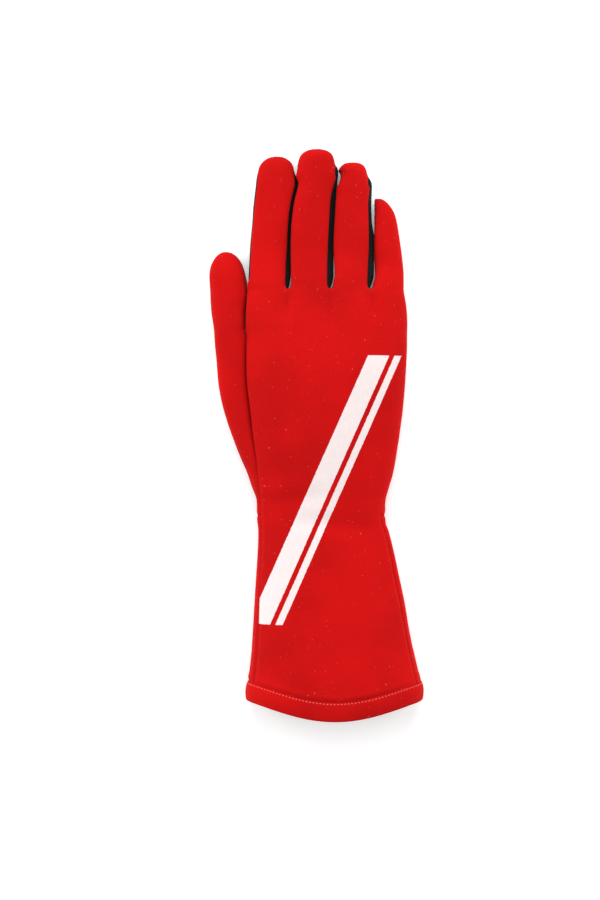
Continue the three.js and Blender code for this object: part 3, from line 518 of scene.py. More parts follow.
def panel_grids(step):
    """Every panel as a list of (grid, cloth coordinates, flipped) that meet edge to edge."""
    cols = Columns(step)
    above = eased(1, WEB, step / HAND_LENGTH, (1, 0))[:, None]
    below = eased(WEB, 0, step / HAND_LENGTH, (0, 0))[:, None]
    hand = np.concatenate([above, below[1:]])
    cuff = eased(0, HEM_STATION, step / CUFF_LENGTH, (0, 1))[:, None]
    out = {}

    def add(panel, grid, flat, flip=False):
        """Puts one more grid to a panel."""
        out.setdefault(panel, []).append((grid, flat, flip))

    # the hand's back with its wrap round the little finger's side, and its palm
    back = joined(cols.lanes("back", hand) + [rows("palm", hand, "little", cols.wrap)])
    palm = joined(cols.lanes("palm", hand))
    flats = {"back": cloth(back), "palm": cloth(palm)}
    add("back_panel", back, flats["back"])
    add("palm_panel", palm, flats["palm"], True)

    # the fingers go on from the hand's first row, with its cloth coordinates
    at = {"back": 0, "palm": 0}
    for name in FINGER_NAMES:
        finger, d = MADE[name], finger_rows(MADE[name], step)
        for side in ("back", "palm"):
            u = cols.of(side, name)
            grid = getattr(finger, side)(d, u)
            middle = len(u) // 2
            start = flats[side][0, at[side] + middle, 0]
            at[side] += len(u) - 1
            if side == "back" and name == "little":
                grid = joined([grid, finger.palm(d, cols.wrap)])
            add(f"{side}_panel", grid, cloth(grid, middle, start), side == "palm")

    # the thumb and its side of the hand
    thumb, d = MADE["thumb"], finger_rows(MADE["thumb"], step)
    round_thumb = joined([thumb.palm(d, cols.thumb_wrap), thumb.back(d, cols.thumb)])
    for grid in (round_thumb, joined(cols.thumb_side(below))):
        add("thumb_back", grid, cloth(grid))
    for grid in (thumb.palm(d, cols.thumb_palm), rows("palm", below, "thumb", cols.thumb_palm)):
        add("thumb_palm", grid, cloth(grid), True)

    # the gauntlet: the back up to its shoulder, and the rest round the sides and the palm
    tail = cols.tail
    lanes = cols.lanes("back", cuff)
    lanes[-1] = lanes[-1][:, tail <= SHOULDER]
    add("back_panel", joined(lanes), cloth(joined(lanes), back.shape[1] // 2))
    side = joined([rows("back", cuff, "little", tail[tail >= SHOULDER]),
                   rows("palm", cuff, "little", cols.wrap)])
    under = joined([rows("palm", cuff, "thumb", cols.thumb_palm)] + cols.lanes("palm", cuff))
    for grid, flip in ((side, False), (joined(cols.thumb_side(cuff)), False), (under, True)):
        add("gauntlet_palm", grid, cloth(grid), flip)

    # the strips: straight rungs from the back's edge to the palm's, bowed out by bulge times sin πt
    t = np.linspace(0, 1, math.ceil(STRIP_SPAN / step) + 2)

    def strip(top, bottom, bulge):
        """Rungs from top to bottom, flatter where the strip is low."""
        reach = np.minimum(1, (top[:, 2:] - bottom[:, 2:]) / BULGE_HEIGHT)
        rungs = mix(top[:, None], bottom[:, None], t[None, :, None])
        rungs[..., 0] += bulge[:, None] * reach * np.sin(np.pi * t)
        return rungs

    def beside_finger(finger, u, bulge):
        """The strip along one side of a finger, which ends flat at the crotch."""
        d, u = finger_rows(finger, step), np.array([u])
        bulge = np.array(bulge(d[:, 0]) if callable(bulge) else np.full(len(d), bulge), float)
        bulge[-1] = 0
        return strip(finger.back(d, u)[:, 0], finger.palm(d, u)[:, 0], bulge)

    for one, other in zip(FINGER_NAMES, FINGER_NAMES[1:]):
        finger, after = MADE[one], MADE[other]

        def fill(d):
            """The right strip fills the gap to the next finger, as far as the next one reaches."""
            y, _, right = finger.edges(d)
            past = CROTCH.y + after.length - y
            room = after.edges(np.maximum(past, 0))[1] - right - BULGE_LEFT - SIDE_CLEARANCE
            return mix(BULGE_RIGHT, np.minimum(BULGE_MOST, room), smooth(past / after.tip - 1))

        down, up = beside_finger(finger, 1.0, fill), beside_finger(after, 0.0, -BULGE_LEFT)
        grid = np.concatenate([down, up[-2::-1]])
        add(f"fourchette_{one}_{other}", grid, cloth(grid, strip=True))
    edge, stations = np.array([0.0]), above[1:-1][::-1]
    top, bottom = (rows(side, stations, "index", edge)[:, 0] for side in ("back", "palm"))
    between = strip(top, bottom, np.full(len(stations), -BULGE_LEFT))
    grid = np.concatenate([beside_finger(thumb, 1.0, BULGE_LEFT), between,
                           beside_finger(MADE["index"], 0.0, -BULGE_LEFT)[::-1]])
    add("thumb_gusset", grid, cloth(grid, strip=True))
    return out

# sheets and their seams


class Sheet:
    """One panel's skin: its grids welded into triangles, with normals, edge and cloth coordinates."""

    def __init__(self, grids):
        raw = np.concatenate([grid.reshape(-1, 3) for grid, _, _ in grids])
        flat = np.concatenate([uv.reshape(-1, 2) for _, uv, _ in grids])
        corners, base = [], 0
        for grid, _, flip in grids:
            n, m = grid.shape[:2]
            ids = base + np.arange(n * m).reshape(n, m)
            a, b, c, d = ids[:-1, :-1], ids[1:, :-1], ids[1:, 1:], ids[:-1, 1:]
            tri = np.stack([np.stack([a, b, c], -1), np.stack([a, c, d], -1)], 2).reshape(-1, 3)
            corners.append(tri[:, ::-1] if flip else tri)
            base += n * m
        corners = np.concatenate(corners)
        keys, first, back = np.unique(np.round(raw / WELD + WELD_SHIFT).astype(np.int64), axis=0,
                                      return_index=True, return_inverse=True)
        tri = back.reshape(-1)[corners]
        whole = (tri[:, 0] != tri[:, 1]) & (tri[:, 1] != tri[:, 2]) & (tri[:, 2] != tri[:, 0])
        self.tri, self.flat = tri[whole], flat[corners[whole]]
        self.points, self.keys = raw[first], keys
        self.normals, self.face_normals = self.weighed()
        self.edge = self.find_edge()
        self.relax()
        self.normals, self.face_normals = self.weighed()
        self.edge = self.find_edge()

    def relax(self):
        """Evens out the crease where the fingers and the thumb leave the hand: inner points move half
        way to the mean of their neighbours, weighed by a Gaussian of the distance from that line."""
        y = self.points[:, 1:2]
        weight = 0.5 * np.maximum(hump(y - CROTCH.y, RELAX_WIDTH), hump(y - WEB * HAND_LENGTH, RELAX_WIDTH))
        weight[self.edge_ids] = 0
        ends = np.concatenate([self.tri[:, [0, 1]], self.tri[:, [1, 2]], self.tri[:, [2, 0]]])
        ends = np.concatenate([ends, ends[:, ::-1]])
        count = np.bincount(ends[:, 0], minlength=len(y))[:, None]
        for _ in range(RELAX_TIMES):
            total = np.zeros_like(self.points)
            np.add.at(total, ends[:, 0], self.points[ends[:, 1]])
            self.points = mix(self.points, total / count, weight)

    def weighed(self):
        """Face normals summed at each point, each weighed by the face's angle there."""
        p, tri = self.points, self.tri
        face = unit(np.cross(p[tri[:, 1]] - p[tri[:, 0]], p[tri[:, 2]] - p[tri[:, 0]]))
        total = np.zeros_like(p)
        for k in range(3):
            one = unit(p[tri[:, (k + 1) % 3]] - p[tri[:, k]])
            other = unit(p[tri[:, (k + 2) % 3]] - p[tri[:, k]])
            np.add.at(total, tri[:, k], face * np.arccos(np.clip(dot(one, other), -1, 1)))
        return unit(total), face

    def find_edge(self):
        """Directed edges with no face on their other side, and the way from them into the panel."""
        size = len(self.points)
        a, b = self.tri.reshape(-1), np.roll(self.tri, -1, axis=1).reshape(-1)
        bare = ~np.isin(a * size + b, b * size + a)
        face = np.repeat(self.face_normals, 3, axis=0)[bare]
        a, b = a[bare], b[bare]
        inward = unit(np.cross(face, self.points[b] - self.points[a]))
        pull, count = np.zeros_like(self.points), np.zeros((size, 1))
        for end in (a, b):
            np.add.at(pull, end, inward)
            np.add.at(count, end, 1)
        self.edge_ids = np.unique(a)
        reach = np.linalg.norm(pull, axis=1, keepdims=True) / np.maximum(count, 1)
        reach = np.maximum(PULL_LEAST, reach)
        self.pull = unit(pull) / reach
        return a, b


def nearest(p, targets):
    """Index of the nearest target to each point and the distance to it, a block of points at a time."""
    best, far = [], []
    targets = targets.astype(np.float32)
    for block in np.array_split(p.astype(np.float32), max(1, len(p) // BLOCK)):
        gap = ((block[:, None] - targets[None]) ** 2).sum(-1)
        best.append(gap.argmin(1))
        far.append(np.sqrt(gap.min(1)))
    return np.concatenate(best), np.concatenate(far).astype(float)


@functools.lru_cache(maxsize=1)
def skin(step):
    """All the sheets, with the mitre of each seam: the mean of its panels' own normals."""
    sheets = {name: Sheet(grids) for name, grids in panel_grids(step).items()}
    keys = np.concatenate([s.keys[s.edge_ids] for s in sheets.values()])
    normals = np.concatenate([s.normals[s.edge_ids] for s in sheets.values()])
    _, back = np.unique(keys, axis=0, return_inverse=True)
    back = back.reshape(-1)
    total = np.zeros((back.max() + 1, 3))
    np.add.at(total, back, normals)
    total = unit(total)[back]
    start = 0
    for sheet in sheets.values():
        end = start + len(sheet.edge_ids)
        sheet.mitre = total[start:end]
        sheet.near, sheet.gap = nearest(sheet.points, sheet.points[sheet.edge_ids])
        sheet.roll = np.zeros((len(sheet.edge_ids), 1))
        start = end
    for node, strip, near, far, start, end in ROLLS:
        sheet = sheets[node]
        edge, mine = sheet.points[sheet.edge_ids], sheet.keys[sheet.edge_ids]
        strips = np.concatenate([s.keys[s.edge_ids] for name, s in sheets.items() if name.startswith(strip)])
        shared = (mine[:, None] == strips[None]).all(-1).any(-1)
        taper = smooth(nearest(edge, edge[~shared])[1] / ROLL_FADE)
        amount = mix(near, far, smooth((edge[:, 1] - start) / (end - start)))
        sheet.roll[:, 0] += np.where(shared, taper * amount, 0)
    return sheets


def dents(p, kind):
    """Soft unevenness of the cloth in mm: the sum of depth times value noise over the kind's rows."""
    return sum(deep * noise(p * [1, along, 1], size, seed) for deep, size, along, seed in DENTS[kind])


def panel_solid(sheet, wall, kind, seam_gap, seam_depth, seam_width):
    """A closed solid on a sheet. Near the edge, at a distance g from the seam, the outer face is
    drawn in by half the seam's gap times 1 - smooth(g / GAP_FADE), rolls out level over a strip by
    the sheet's roll times 1 - smooth(g / ROLL_REACH), sinks by seam_depth times a Gaussian of g, and
    swells a little beyond it. The inner face lies one wall below along the mitre."""
    g = sheet.gap[:, None]
    pull = sheet.pull[sheet.edge_ids][sheet.near]
    p = sheet.points + pull * (seam_gap / 2 * (1 - smooth(g / GAP_FADE)))
    p = p - unit(pull * [1, 1, 0]) * sheet.roll[sheet.near] * (1 - smooth(g / ROLL_REACH))
    mitre = sheet.mitre[sheet.near]
    way = unit(mix(mitre, sheet.normals, smooth(g / MITRE_FADE)))
    facing = np.maximum(FACING_LEAST, dot(mitre, sheet.normals[sheet.edge_ids][sheet.near]))
    long = mix(1 / facing, 1, smooth(g / MITRE_FADE))
    uneven = dents(sheet.points, kind)[:, None]
    uneven = uneven + dents(sheet.points, "seam")[:, None] * hump(g, PUCKER_WIDTH)
    rise = (-seam_depth * hump(g, seam_width) + uneven * smooth(g / DENT_FADE)
            + SWELL * seam_depth * hump(g - SWELL_AT * seam_width, SWELL_WIDTH * seam_width))
    outer = p + way * long * rise
    outer[:, 2] = np.maximum(0, outer[:, 2])
    inner = p - way * long * wall
    count = len(p)
    a, b = sheet.edge
    tri = np.concatenate([sheet.tri, sheet.tri[:, ::-1] + count,
                          np.stack([b, a, a + count], -1), np.stack([b, a + count, b + count], -1)])
    flat = np.concatenate([sheet.flat, sheet.flat[:, ::-1], np.zeros((2 * len(a), 3, 2))])
    which = np.repeat([0, 1, 0], [len(sheet.tri), len(sheet.tri), 2 * len(a)])
    return np.concatenate([outer, inner]), tri, flat, which


def put_in_scene(name, data):
    """A new object with that data, linked to the scene."""
    made = bpy.data.objects.new(name, data)
    bpy.context.scene.collection.objects.link(made)
    return made


def piece(name, vertices, tri, flat, materials, which, nodes):
    """Puts arrays into a mesh of triangles, as one smooth piece that stands for its nodes."""
    mesh = bpy.data.meshes.new(name)
    mesh.vertices.add(len(vertices))
    mesh.vertices.foreach_set("co", ((vertices + DATUM) * MM).astype(np.float32).ravel())
    mesh.loops.add(tri.size)
    mesh.loops.foreach_set("vertex_index", tri.astype(np.int32).ravel())
    mesh.polygons.add(len(tri))
    mesh.polygons.foreach_set("loop_start", np.arange(0, tri.size, 3, dtype=np.int32))
    mesh.polygons.foreach_set("use_smooth", np.ones(len(tri), bool))
    mesh.polygons.foreach_set("material_index", np.broadcast_to(which, len(tri)).astype(np.int32))
    layer = mesh.uv_layers.new(name="cloth")
    layer.data.foreach_set("uv", flat.astype(np.float32).ravel())
    for material in materials:
        mesh.materials.append(material)
    mesh.update(calc_edges=True)
    if mesh.validate():
        raise RuntimeError(f"{name} has faces that do not hold")
    made = put_in_scene(name, mesh)
    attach(made, "root")
    if nodes:
        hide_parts(*nodes)

# the hem


def hem_profile():
    """Points round the hem's folded band, as (run towards the end, height over the skin), in mm.
    Outside it is tucked in at its stitch line and puffed after it, the end is a half circle of the
    band's thickness, and inside it runs straight back."""
    half = HEM_THICKNESS / 2
    last = HEM_LENGTH - half
    run = np.concatenate([HEM_FIRST, np.linspace(STITCH_LINE, last, HEM_OUTSIDE)[:-1]])
    puff = np.sin(np.pi * np.clip((run - STITCH_LINE) / (last - STITCH_LINE), 0, 1)) ** HEM_PUFF_ROUND
    height = (HEM_PROUD * smooth(run / STITCH_LINE) - HEM_TUCK * hump(run, HEM_TUCK_START)
              - HEM_TUCK * hump(run - STITCH_LINE, HEM_TUCK_LINE) + HEM_PUFF * puff)
    turn = np.linspace(np.pi / 2, -np.pi / 2, HEM_END)
    end = np.stack([last + half * np.cos(turn), HEM_PROUD - half + half * np.sin(turn)], -1)
    back = np.linspace(last, 0, HEM_INSIDE)[1:]
    inside = np.stack([back, np.full(len(back), HEM_PROUD - HEM_THICKNESS)], -1)
    return np.concatenate([np.stack([run, height], -1), end, inside])


def hem_surface(step, profile):
    """The profile carried round the gauntlet's end: each point of the ring, moved by run along the
    cloth and by height out of it, with a slow unevenness of the height that grows with run."""
    start, end = ring(np.array([[HEM_STATION], [-1.0]]), Columns(step))
    along = unit(end - start)
    out = unit(np.cross(along, unit(np.roll(start, -1, 0) - np.roll(start, 1, 0))))
    stretch = np.linalg.norm(end - start, axis=1)[:, None, None] / HEM_LENGTH
    wave = dents(start, "hem")[:, None, None]
    run, height = profile[None, :, :1], profile[None, :, 1:]
    grid = start[:, None] + along[:, None] * run * stretch
    share = np.where(height > HEM_SPLIT, 1, HEM_INNER_WAVE)
    grid = grid + out[:, None] * (height + wave * run / HEM_LENGTH * share)
    grid[..., 2] = np.maximum(0, grid[..., 2])
    return grid, out


def ring_solid(grid, lined):
    """Closes a grid in both ways, with cloth coordinates run round it and along its profile."""
    n, m = grid.shape[:2]
    i, j = np.meshgrid(np.arange(n), np.arange(m), indexing="ij")
    around = np.linalg.norm(np.diff(grid[:, 0], axis=0, append=grid[:1, 0]), axis=1)
    beside_it = np.linalg.norm(np.diff(grid[0], axis=0, append=grid[0, :1]), axis=1)
    u0, v0 = np.concatenate([[0], np.cumsum(around)]), np.concatenate([[0], np.cumsum(beside_it)])
    ids = lambda di, dj: ((i + di) % n) * m + (j + dj) % m
    uv = lambda di, dj: np.stack([u0[i + di], -v0[j + dj]], -1)
    steps = [[(0, 0), (0, 1), (1, 1)], [(0, 0), (1, 1), (1, 0)]]
    tri = np.concatenate([np.stack([ids(*s) for s in one], -1).reshape(-1, 3) for one in steps])
    flat = np.concatenate([np.stack([uv(*s) for s in one], 2).reshape(-1, 3, 2) for one in steps])
    return grid.reshape(-1, 3), tri, flat, np.tile((j >= m - lined).reshape(-1).astype(int), 2)


def stitches(path, out, pitch, long, thick):
    """Small threads along a path: each is a round section whose radius is thick times the square
    root of 1 - |t|³, with its ends bent down into the cloth by a square of t."""
    run = np.concatenate([[0], np.cumsum(np.linalg.norm(np.diff(path, axis=0), axis=1))])
    count = int(run[-1] // pitch)
    centre = (np.arange(count) + 0.5) * run[-1] / count
    at = lambda s, what: np.stack([np.interp(s, run, what[:, k]) for k in range(3)], -1)
    mid, up = at(centre, path), unit(at(centre, out))
    way = unit(at(centre + long / 2, path) - at(centre - long / 2, path))
    side = unit(np.cross(way, up))
    up = np.cross(side, way)
    t = np.array(STITCH_RINGS)
    radius = thick * np.sqrt(np.clip(1.0004 - np.abs(t) ** 3, 0, 1))
    turn = np.arange(STITCH_SIDES) * 2 * np.pi / STITCH_SIDES
    lift = thick * (STITCH_LIFT - STITCH_BEND * t ** 2)
    p = (mid[:, None, None] + way[:, None, None] * (t * long / 2)[None, :, None, None]
         + up[:, None, None] * (lift[:, None] + radius[:, None] * np.sin(turn))[None, ..., None]
         + side[:, None, None] * (radius[:, None] * np.cos(turn))[None, ..., None])
    rows, cols = p.shape[1:3]
    ids = np.arange(p.shape[0] * rows * cols).reshape(-1, rows, cols)
    a, b = ids[:, :-1], ids[:, 1:]
    c, d = np.roll(b, -1, 2), np.roll(a, -1, 2)
    tri = [np.stack([a, b, c], -1).reshape(-1, 3), np.stack([a, c, d], -1).reshape(-1, 3)]
    first, last = ids[:, 0], ids[:, -1]
    for j in range(1, cols - 1):
        tri.append(np.stack([first[:, 0], first[:, j], first[:, j + 1]], -1))
        tri.append(np.stack([last[:, 0], last[:, j + 1], last[:, j]], -1))
    return p.reshape(-1, 3), np.concatenate(tri)

# materials


class Value:
    """A socket that adds Math nodes when it is used in an expression."""

    def __init__(self, shader, socket):
        self.shader, self.socket = shader, socket

    def math(self, operation, *others):
        """A Math node on this value and the others."""
        return self.shader.add("ShaderNodeMath", {"operation": operation}, [self, *others])[0]

    __add__ = __radd__ = lambda self, other: self.math("ADD", other)
    __mul__ = __rmul__ = lambda self, other: self.math("MULTIPLY", other)
    __sub__ = lambda self, other: self.math("SUBTRACT", other)
    __rsub__ = lambda self, other: (self * -1).math("ADD", other)
    __truediv__ = lambda self, other: self.math("DIVIDE", other)
    __abs__ = lambda self: self.math("ABSOLUTE")

    def sin(self):
        """Sine of the value in radians."""
        return self.math("SINE")

    def wave(self):
        """A triangle wave between 0 and 1, with period 1."""
        return self.math("PINGPONG", 0.5) * 2

    def step(self, low, high):
        """Smooth step from 0 at low to 1 at high."""
        return self.shader.add("ShaderNodeMapRange", {"interpolation_type": "SMOOTHSTEP"},
                               {"Value": self, "From Min": low, "From Max": high})["Result"]


class Shader:
    """One material: a Principled shader, and a method that adds any other node to it."""

    def __init__(self, name, **constants):
        self.material = bpy.data.materials.new(name)
        self.material.use_nodes = True
        self.tree = self.material.node_tree
        self.tree.nodes.clear()
        self.output = self.tree.nodes.new("ShaderNodeOutputMaterial")
        self.shader = self.tree.nodes.new("ShaderNodeBsdfPrincipled")
        self.tree.links.new(self.shader.outputs[0], self.output.inputs[0])
        self.feed(**constants)

    def put(self, socket, value):
        """Links a value to a socket, or sets a number or a colour on it."""
        if isinstance(value, Value):
            self.tree.links.new(value.socket, socket)
        elif socket.type == "RGBA":
            socket.default_value = (*value[:3], 1)
        else:
            socket.default_value = value

    def feed(self, **values):
        """Sets or links the Principled shader's sockets."""
        for key, value in values.items():
            self.put(self.shader.inputs[key.replace("_", " ")], value)

    def add(self, kind, settings=None, inputs=()):
        """Adds a node: its settings first, then the values or links of its sockets."""
        node = self.tree.nodes.new(kind)
        for key, value in (settings or {}).items():
            setattr(node, key, value)
        pairs = inputs.items() if isinstance(inputs, dict) else enumerate(inputs)
        for key, value in pairs:
            self.put(node.inputs[key], value)
        return {key: Value(self, socket) for i, socket in enumerate(node.outputs) for key in (i, socket.name)}

    def blend(self, share, one, other):
        """Two colours mixed by a share."""
        return self.add("ShaderNodeMix", {"data_type": "RGBA"}, {0: share, 6: one, 7: other})[2]

    def speckle(self, place, scale, detail=2.0, rough=0.5):
        """Noise from 0 to 1, scale times to the metre."""
        return self.add("ShaderNodeTexNoise", {}, {"Vector": place, "Scale": scale, "Detail": detail,
                                                   "Roughness": rough})[0]

    def place(self):
        """Object coordinates, in metres."""
        return self.add("ShaderNodeTexCoord")["Object"]

    def split(self, vector):
        """The three coordinates of a vector."""
        parts = self.add("ShaderNodeSeparateXYZ", {}, [vector])
        return parts["X"], parts["Y"], parts["Z"]

    def cover(self, colour, roughness, height, distance, strength):
        """Feeds what varies over a cloth: its colour, its roughness, and a normal tilted by a height
        whose full range is distance metres. Gives the material."""
        sockets = {"Height": height, "Distance": distance, "Strength": strength}
        bump = self.add("ShaderNodeBump", {}, sockets)[0]
        self.feed(Base_Color=colour, Roughness=roughness, Normal=bump)
        return self.material


# width and length of one stitch of each knitted cloth, in mm
STITCHES = {"knit": (0.9, 0.75), "strip": (0.8, 0.9), "lining": (0.8, 0.7)}
# depth of each surface's relief in metres, and how strongly it tilts the light
RELIEF = {
    "knit": (0.00016, 0.7), "suede": (0.00018, 0.6), "strip": (0.00015, 0.6), "lining": (0.0001, 0.5),
    "thread": (0.00005, 0.5),
}
# noise of the knit, in times per metre, and the pale colour of its fibres
KNIT_FINE, KNIT_FUZZ, KNIT_SLOW, KNIT_FIBRE = 1400, 420, 26, 900
FIBRE_COLOUR = (0.85, 0.3, 0.28)
# waves of the thread's plies, in radians per metre
PLIES = 9000


def loops(s, wale, course):
    """Height of a fine jersey knit: rounded columns of stitches, each a row of small V shapes, which
    are a sine along the cloth shifted by a triangle wave across it."""
    u, v, _ = s.split(s.add("ShaderNodeUVMap", {"uv_map": "cloth"})["UV"])
    column = (u / wale).wave()
    return (1 - column * column) * 0.6 + (v * (2 * math.pi / course) + column * 3.4).sin() * 0.25


def shades(colour, low, high):
    """A darker and a lighter shade of a colour."""
    return [c * low for c in colour], [min(1, c * high) for c in colour]


def knit(name, colour, print_colour=None):
    """Red double knit: fine stitches, a felted surface, slow colour changes and a few pale fibres."""
    s = Shader(name, IOR=1.4, Specular_IOR_Level=0.1, Sheen_Weight=0.4, Sheen_Roughness=0.4,
               Sheen_Tint=(1.0, 0.04, 0.03))
    place = s.place()
    fine, fuzz = s.speckle(place, KNIT_FINE), s.speckle(place, KNIT_FUZZ, 3, 0.6)
    slow = s.speckle(place, KNIT_SLOW, 3).step(0.3, 0.7)
    tone = s.blend(slow * 0.7 + fine * 0.3, *shades(colour, 0.84, 1.1))
    fibre = s.speckle(place, KNIT_FIBRE, 0).step(0.83, 0.87) * 0.2
    tone = s.blend(fibre, tone, FIBRE_COLOUR)
    rough = 0.88 + fine * 0.08
    height = loops(s, *STITCHES["knit"]) * 0.7 + fuzz * 0.6
    if print_colour:
        x, y, _ = s.split(place)
        rag = (s.speckle(place, KNIT_FIBRE, 1) - 0.5) * (PRINT_RAG * MM)
        turn, edge = math.radians(PRINT_TURN), PRINT_EDGE * MM
        across = (x - PRINT_AT[0] * MM) * math.cos(turn) + (y - PRINT_AT[1] * MM) * math.sin(turn) + rag
        mask = sum(1 - abs(across - offset * MM).step(wide / 2 * MM - edge, wide / 2 * MM + edge)
                   for offset, wide in PRINT_BANDS)
        low, high = (end * MM for end in PRINT_ENDS)
        mask = mask * (y + rag).step(low - edge, low + edge) * (1 - (y + rag).step(high - edge, high + edge))
        ink = s.blend(fuzz.step(0.3, 0.75) * 0.35, *shades(print_colour, 1, 0.86))
        tone = s.blend(mask, tone, ink)
        rough = rough - mask * 0.28
        height = height * (1 - mask * 0.45)
    return s.cover(tone, rough, height, *RELIEF["knit"])


def suede(name, colour):
    """Black suede: short nap in paler and darker strokes, over a fine pebbled grain."""
    s = Shader(name, IOR=1.4, Specular_IOR_Level=0.25, Sheen_Weight=0.3, Sheen_Roughness=0.5,
               Sheen_Tint=(0.75, 0.75, 0.8))
    place = s.place()
    strokes, grain = s.speckle(place, 60, 4, 0.6), s.speckle(place, 1100)
    tone = s.blend(strokes.step(0.35, 0.68) * 0.8 + grain * 0.2, *shades(colour, 0.7, 2.0))
    return s.cover(tone, 0.82 + grain * 0.12, grain * 0.6 + strokes * 0.8, *RELIEF["suede"])


def stretch_strip(name, colour):
    """Black ribbed stretch cloth of the strips between the fingers."""
    s = Shader(name, IOR=1.4, Specular_IOR_Level=0.12, Sheen_Weight=0.05, Sheen_Roughness=0.5)
    fine = s.speckle(s.place(), 1200)
    tone = s.blend(fine, *shades(colour, 0.7, 1.8))
    return s.cover(tone, 0.75 + fine * 0.15, loops(s, *STITCHES["strip"]) + fine * 0.5, *RELIEF["strip"])


def lining(name, colour):
    """The inner layer of soft jersey: blurred colour under small rounded stitches."""
    s = Shader(name, IOR=1.4, Specular_IOR_Level=0.15)
    place = s.place()
    tone = s.blend(s.speckle(place, 300, 3), *shades(colour, 0.75, 1.15))
    rough = 0.9 + s.speckle(place, 40) * 0.06
    return s.cover(tone, rough, loops(s, *STITCHES["lining"]), *RELIEF["lining"])


def thread(name, colour):
    """Twisted sewing thread: slanted plies in a fine wave."""
    s = Shader(name, IOR=1.45, Specular_IOR_Level=0.4)
    place = s.place()
    x, y, z = s.split(place)
    tone = s.blend(s.speckle(place, 500), *shades(colour, 0.8, 1.12))
    rough = 0.55 + s.speckle(place, 700, 1) * 0.2
    return s.cover(tone, rough, ((x + y + z) * PLIES).sin(), *RELIEF["thread"])


# a plain pair of parallel straight bands: place and turn of their line, then offset and width, mm
PRINT_AT = (4.0, -40.0)
PRINT_TURN = -24.0
PRINT_BANDS = [(-4.0, 12.0), (7.0, 4.0)]
PRINT_ENDS = (-118.0, 46.0)
PRINT_EDGE, PRINT_RAG = 0.12, 0.6   # how soft and how uneven the bands' edges are, mm

# place and size in metres of each soft light, by the name of its power setting
LIGHTS = {
    "end": ((0, 1.1, 0.9), 1.1),
    "left": ((-1.1, 0.35, 0.5), 0.9),
    "right": ((1.1, 0.35, 0.5), 0.9),
}
FLOOR_GLOW = 0.2
# the camera's height over the floor when its distance is 0, the middle and the height of what it sees
VIEW_LIFT, VIEW_MIDDLE, VIEW_HEIGHT, SENSOR = 0.010, (-0.01025, -0.01187), 0.558, 36

# piece: the node it stands for, its wall in mm, its finish and the record's slot
PANELS = {
    "knit_back": ("back_panel", 1.8, "printed", "knit"),
    "knit_thumb_back": ("thumb_back", 1.8, "knit", "knit"),
    "knit_gauntlet_sides": ("gauntlet_palm", 1.8, "knit", "knit"),
    "suede_palm": ("palm_panel", 1.4, "suede", "suede"),
    "suede_thumb_palm": ("thumb_palm", 1.4, "suede", "suede"),
    "gusset_strip": ("thumb_gusset", 1.2, "strip", "suede"),
    "finger_strip_index_middle": ("fourchette_index_middle", 1.2, "strip", "suede"),
    "finger_strip_middle_ring": ("fourchette_middle_ring", 1.2, "strip", "suede"),
    "finger_strip_ring_little": ("fourchette_ring_little", 1.2, "strip", "suede"),
}


@functools.lru_cache(maxsize=None)
def finish(kind):
    """The material of that kind, in the colours of the scene's settings."""
    c = bpy.context.scene.glove_colours
    made = {
        "printed": lambda: knit("knit_printed", list(c.knit), list(c.bands)),
        "knit": lambda: knit("knit_plain", list(c.knit)),
        "suede": lambda: suede("suede_black", list(c.suede)),
        "strip": lambda: stretch_strip("strip_black", list(c.suede)),
        "lining": lambda: lining("lining_jersey", list(c.lining)),
        "thread": lambda: thread("thread_pale_red", list(c.thread)),
    }
    return made[kind]()

# settings


def tint(name, text, value):
    """A colour setting."""
    return FloatVectorProperty(name=name, description=text, subtype="COLOR", size=3, min=0, max=1,
                               default=value)


def power(name, text, value):
    """A light's power setting."""
    return FloatProperty(name=name, description=text, unit="POWER", min=0, default=value)


def length(name, text, value, low, high):
    """A length setting, in metres."""
    return FloatProperty(name=name, description=text, unit="LENGTH", subtype="DISTANCE", min=low, max=high,
                         precision=5, default=value)


class GloveColours(bpy.types.PropertyGroup):
    """The glove's colours."""
    knit: tint("Knit", "Colour of the outer knit", (0.42, 0.0028, 0.0028))
    bands: tint("Bands", "Colour of the printed bands", (0.66, 0.58, 0.575))
    suede: tint("Suede", "Colour of the palm and the strips", (0.004, 0.004, 0.0043))
    lining: tint("Lining", "Colour of the inner layer", (0.20, 0.012, 0.012))
    thread: tint("Thread", "Colour of the hem's stitches", (0.62, 0.17, 0.15))


class GloveSizes(bpy.types.PropertyGroup):
    """Sizes of the cloth, its seams and its stitches."""
    spacing: length("Spacing", "Distance between points of the cloth", 0.00125, 0.0008, 0.006)
    seam_gap: length("Seam gap", "Gap between two panels at a seam", 0.00012, 0.00005, 0.001)
    seam_depth: length("Seam depth", "How far the cloth sinks towards a seam", 0.00045, 0, 0.002)
    seam_width: length("Seam width", "How far from a seam the cloth sinks", 0.0012, 0.0003, 0.005)
    stitch_pitch: length("Stitch pitch", "Distance from stitch to stitch along the hem", 0.0021, 0.001, 0.01)
    stitch_length: length("Stitch length", "Length of one stitch", 0.0011, 0.0005, 0.008)


class GloveStage(bpy.types.PropertyGroup):
    """The floor, the lights and the camera."""
    floor: tint("Floor", "Colour of the floor", (0.93, 0.93, 0.93))
    end: power("End light", "Power of the soft light past the fingers", 13)
    left: power("Left light", "Power of the soft light on the left", 12)
    right: power("Right light", "Power of the soft light on the right", 9)
    sky: FloatProperty(name="Surroundings", description="Strength of the even light all round", min=0,
                       default=0.72)
    distance: length("Camera distance", "Height of the camera over the glove's middle", 1.0, 0.3, 5)

# operators


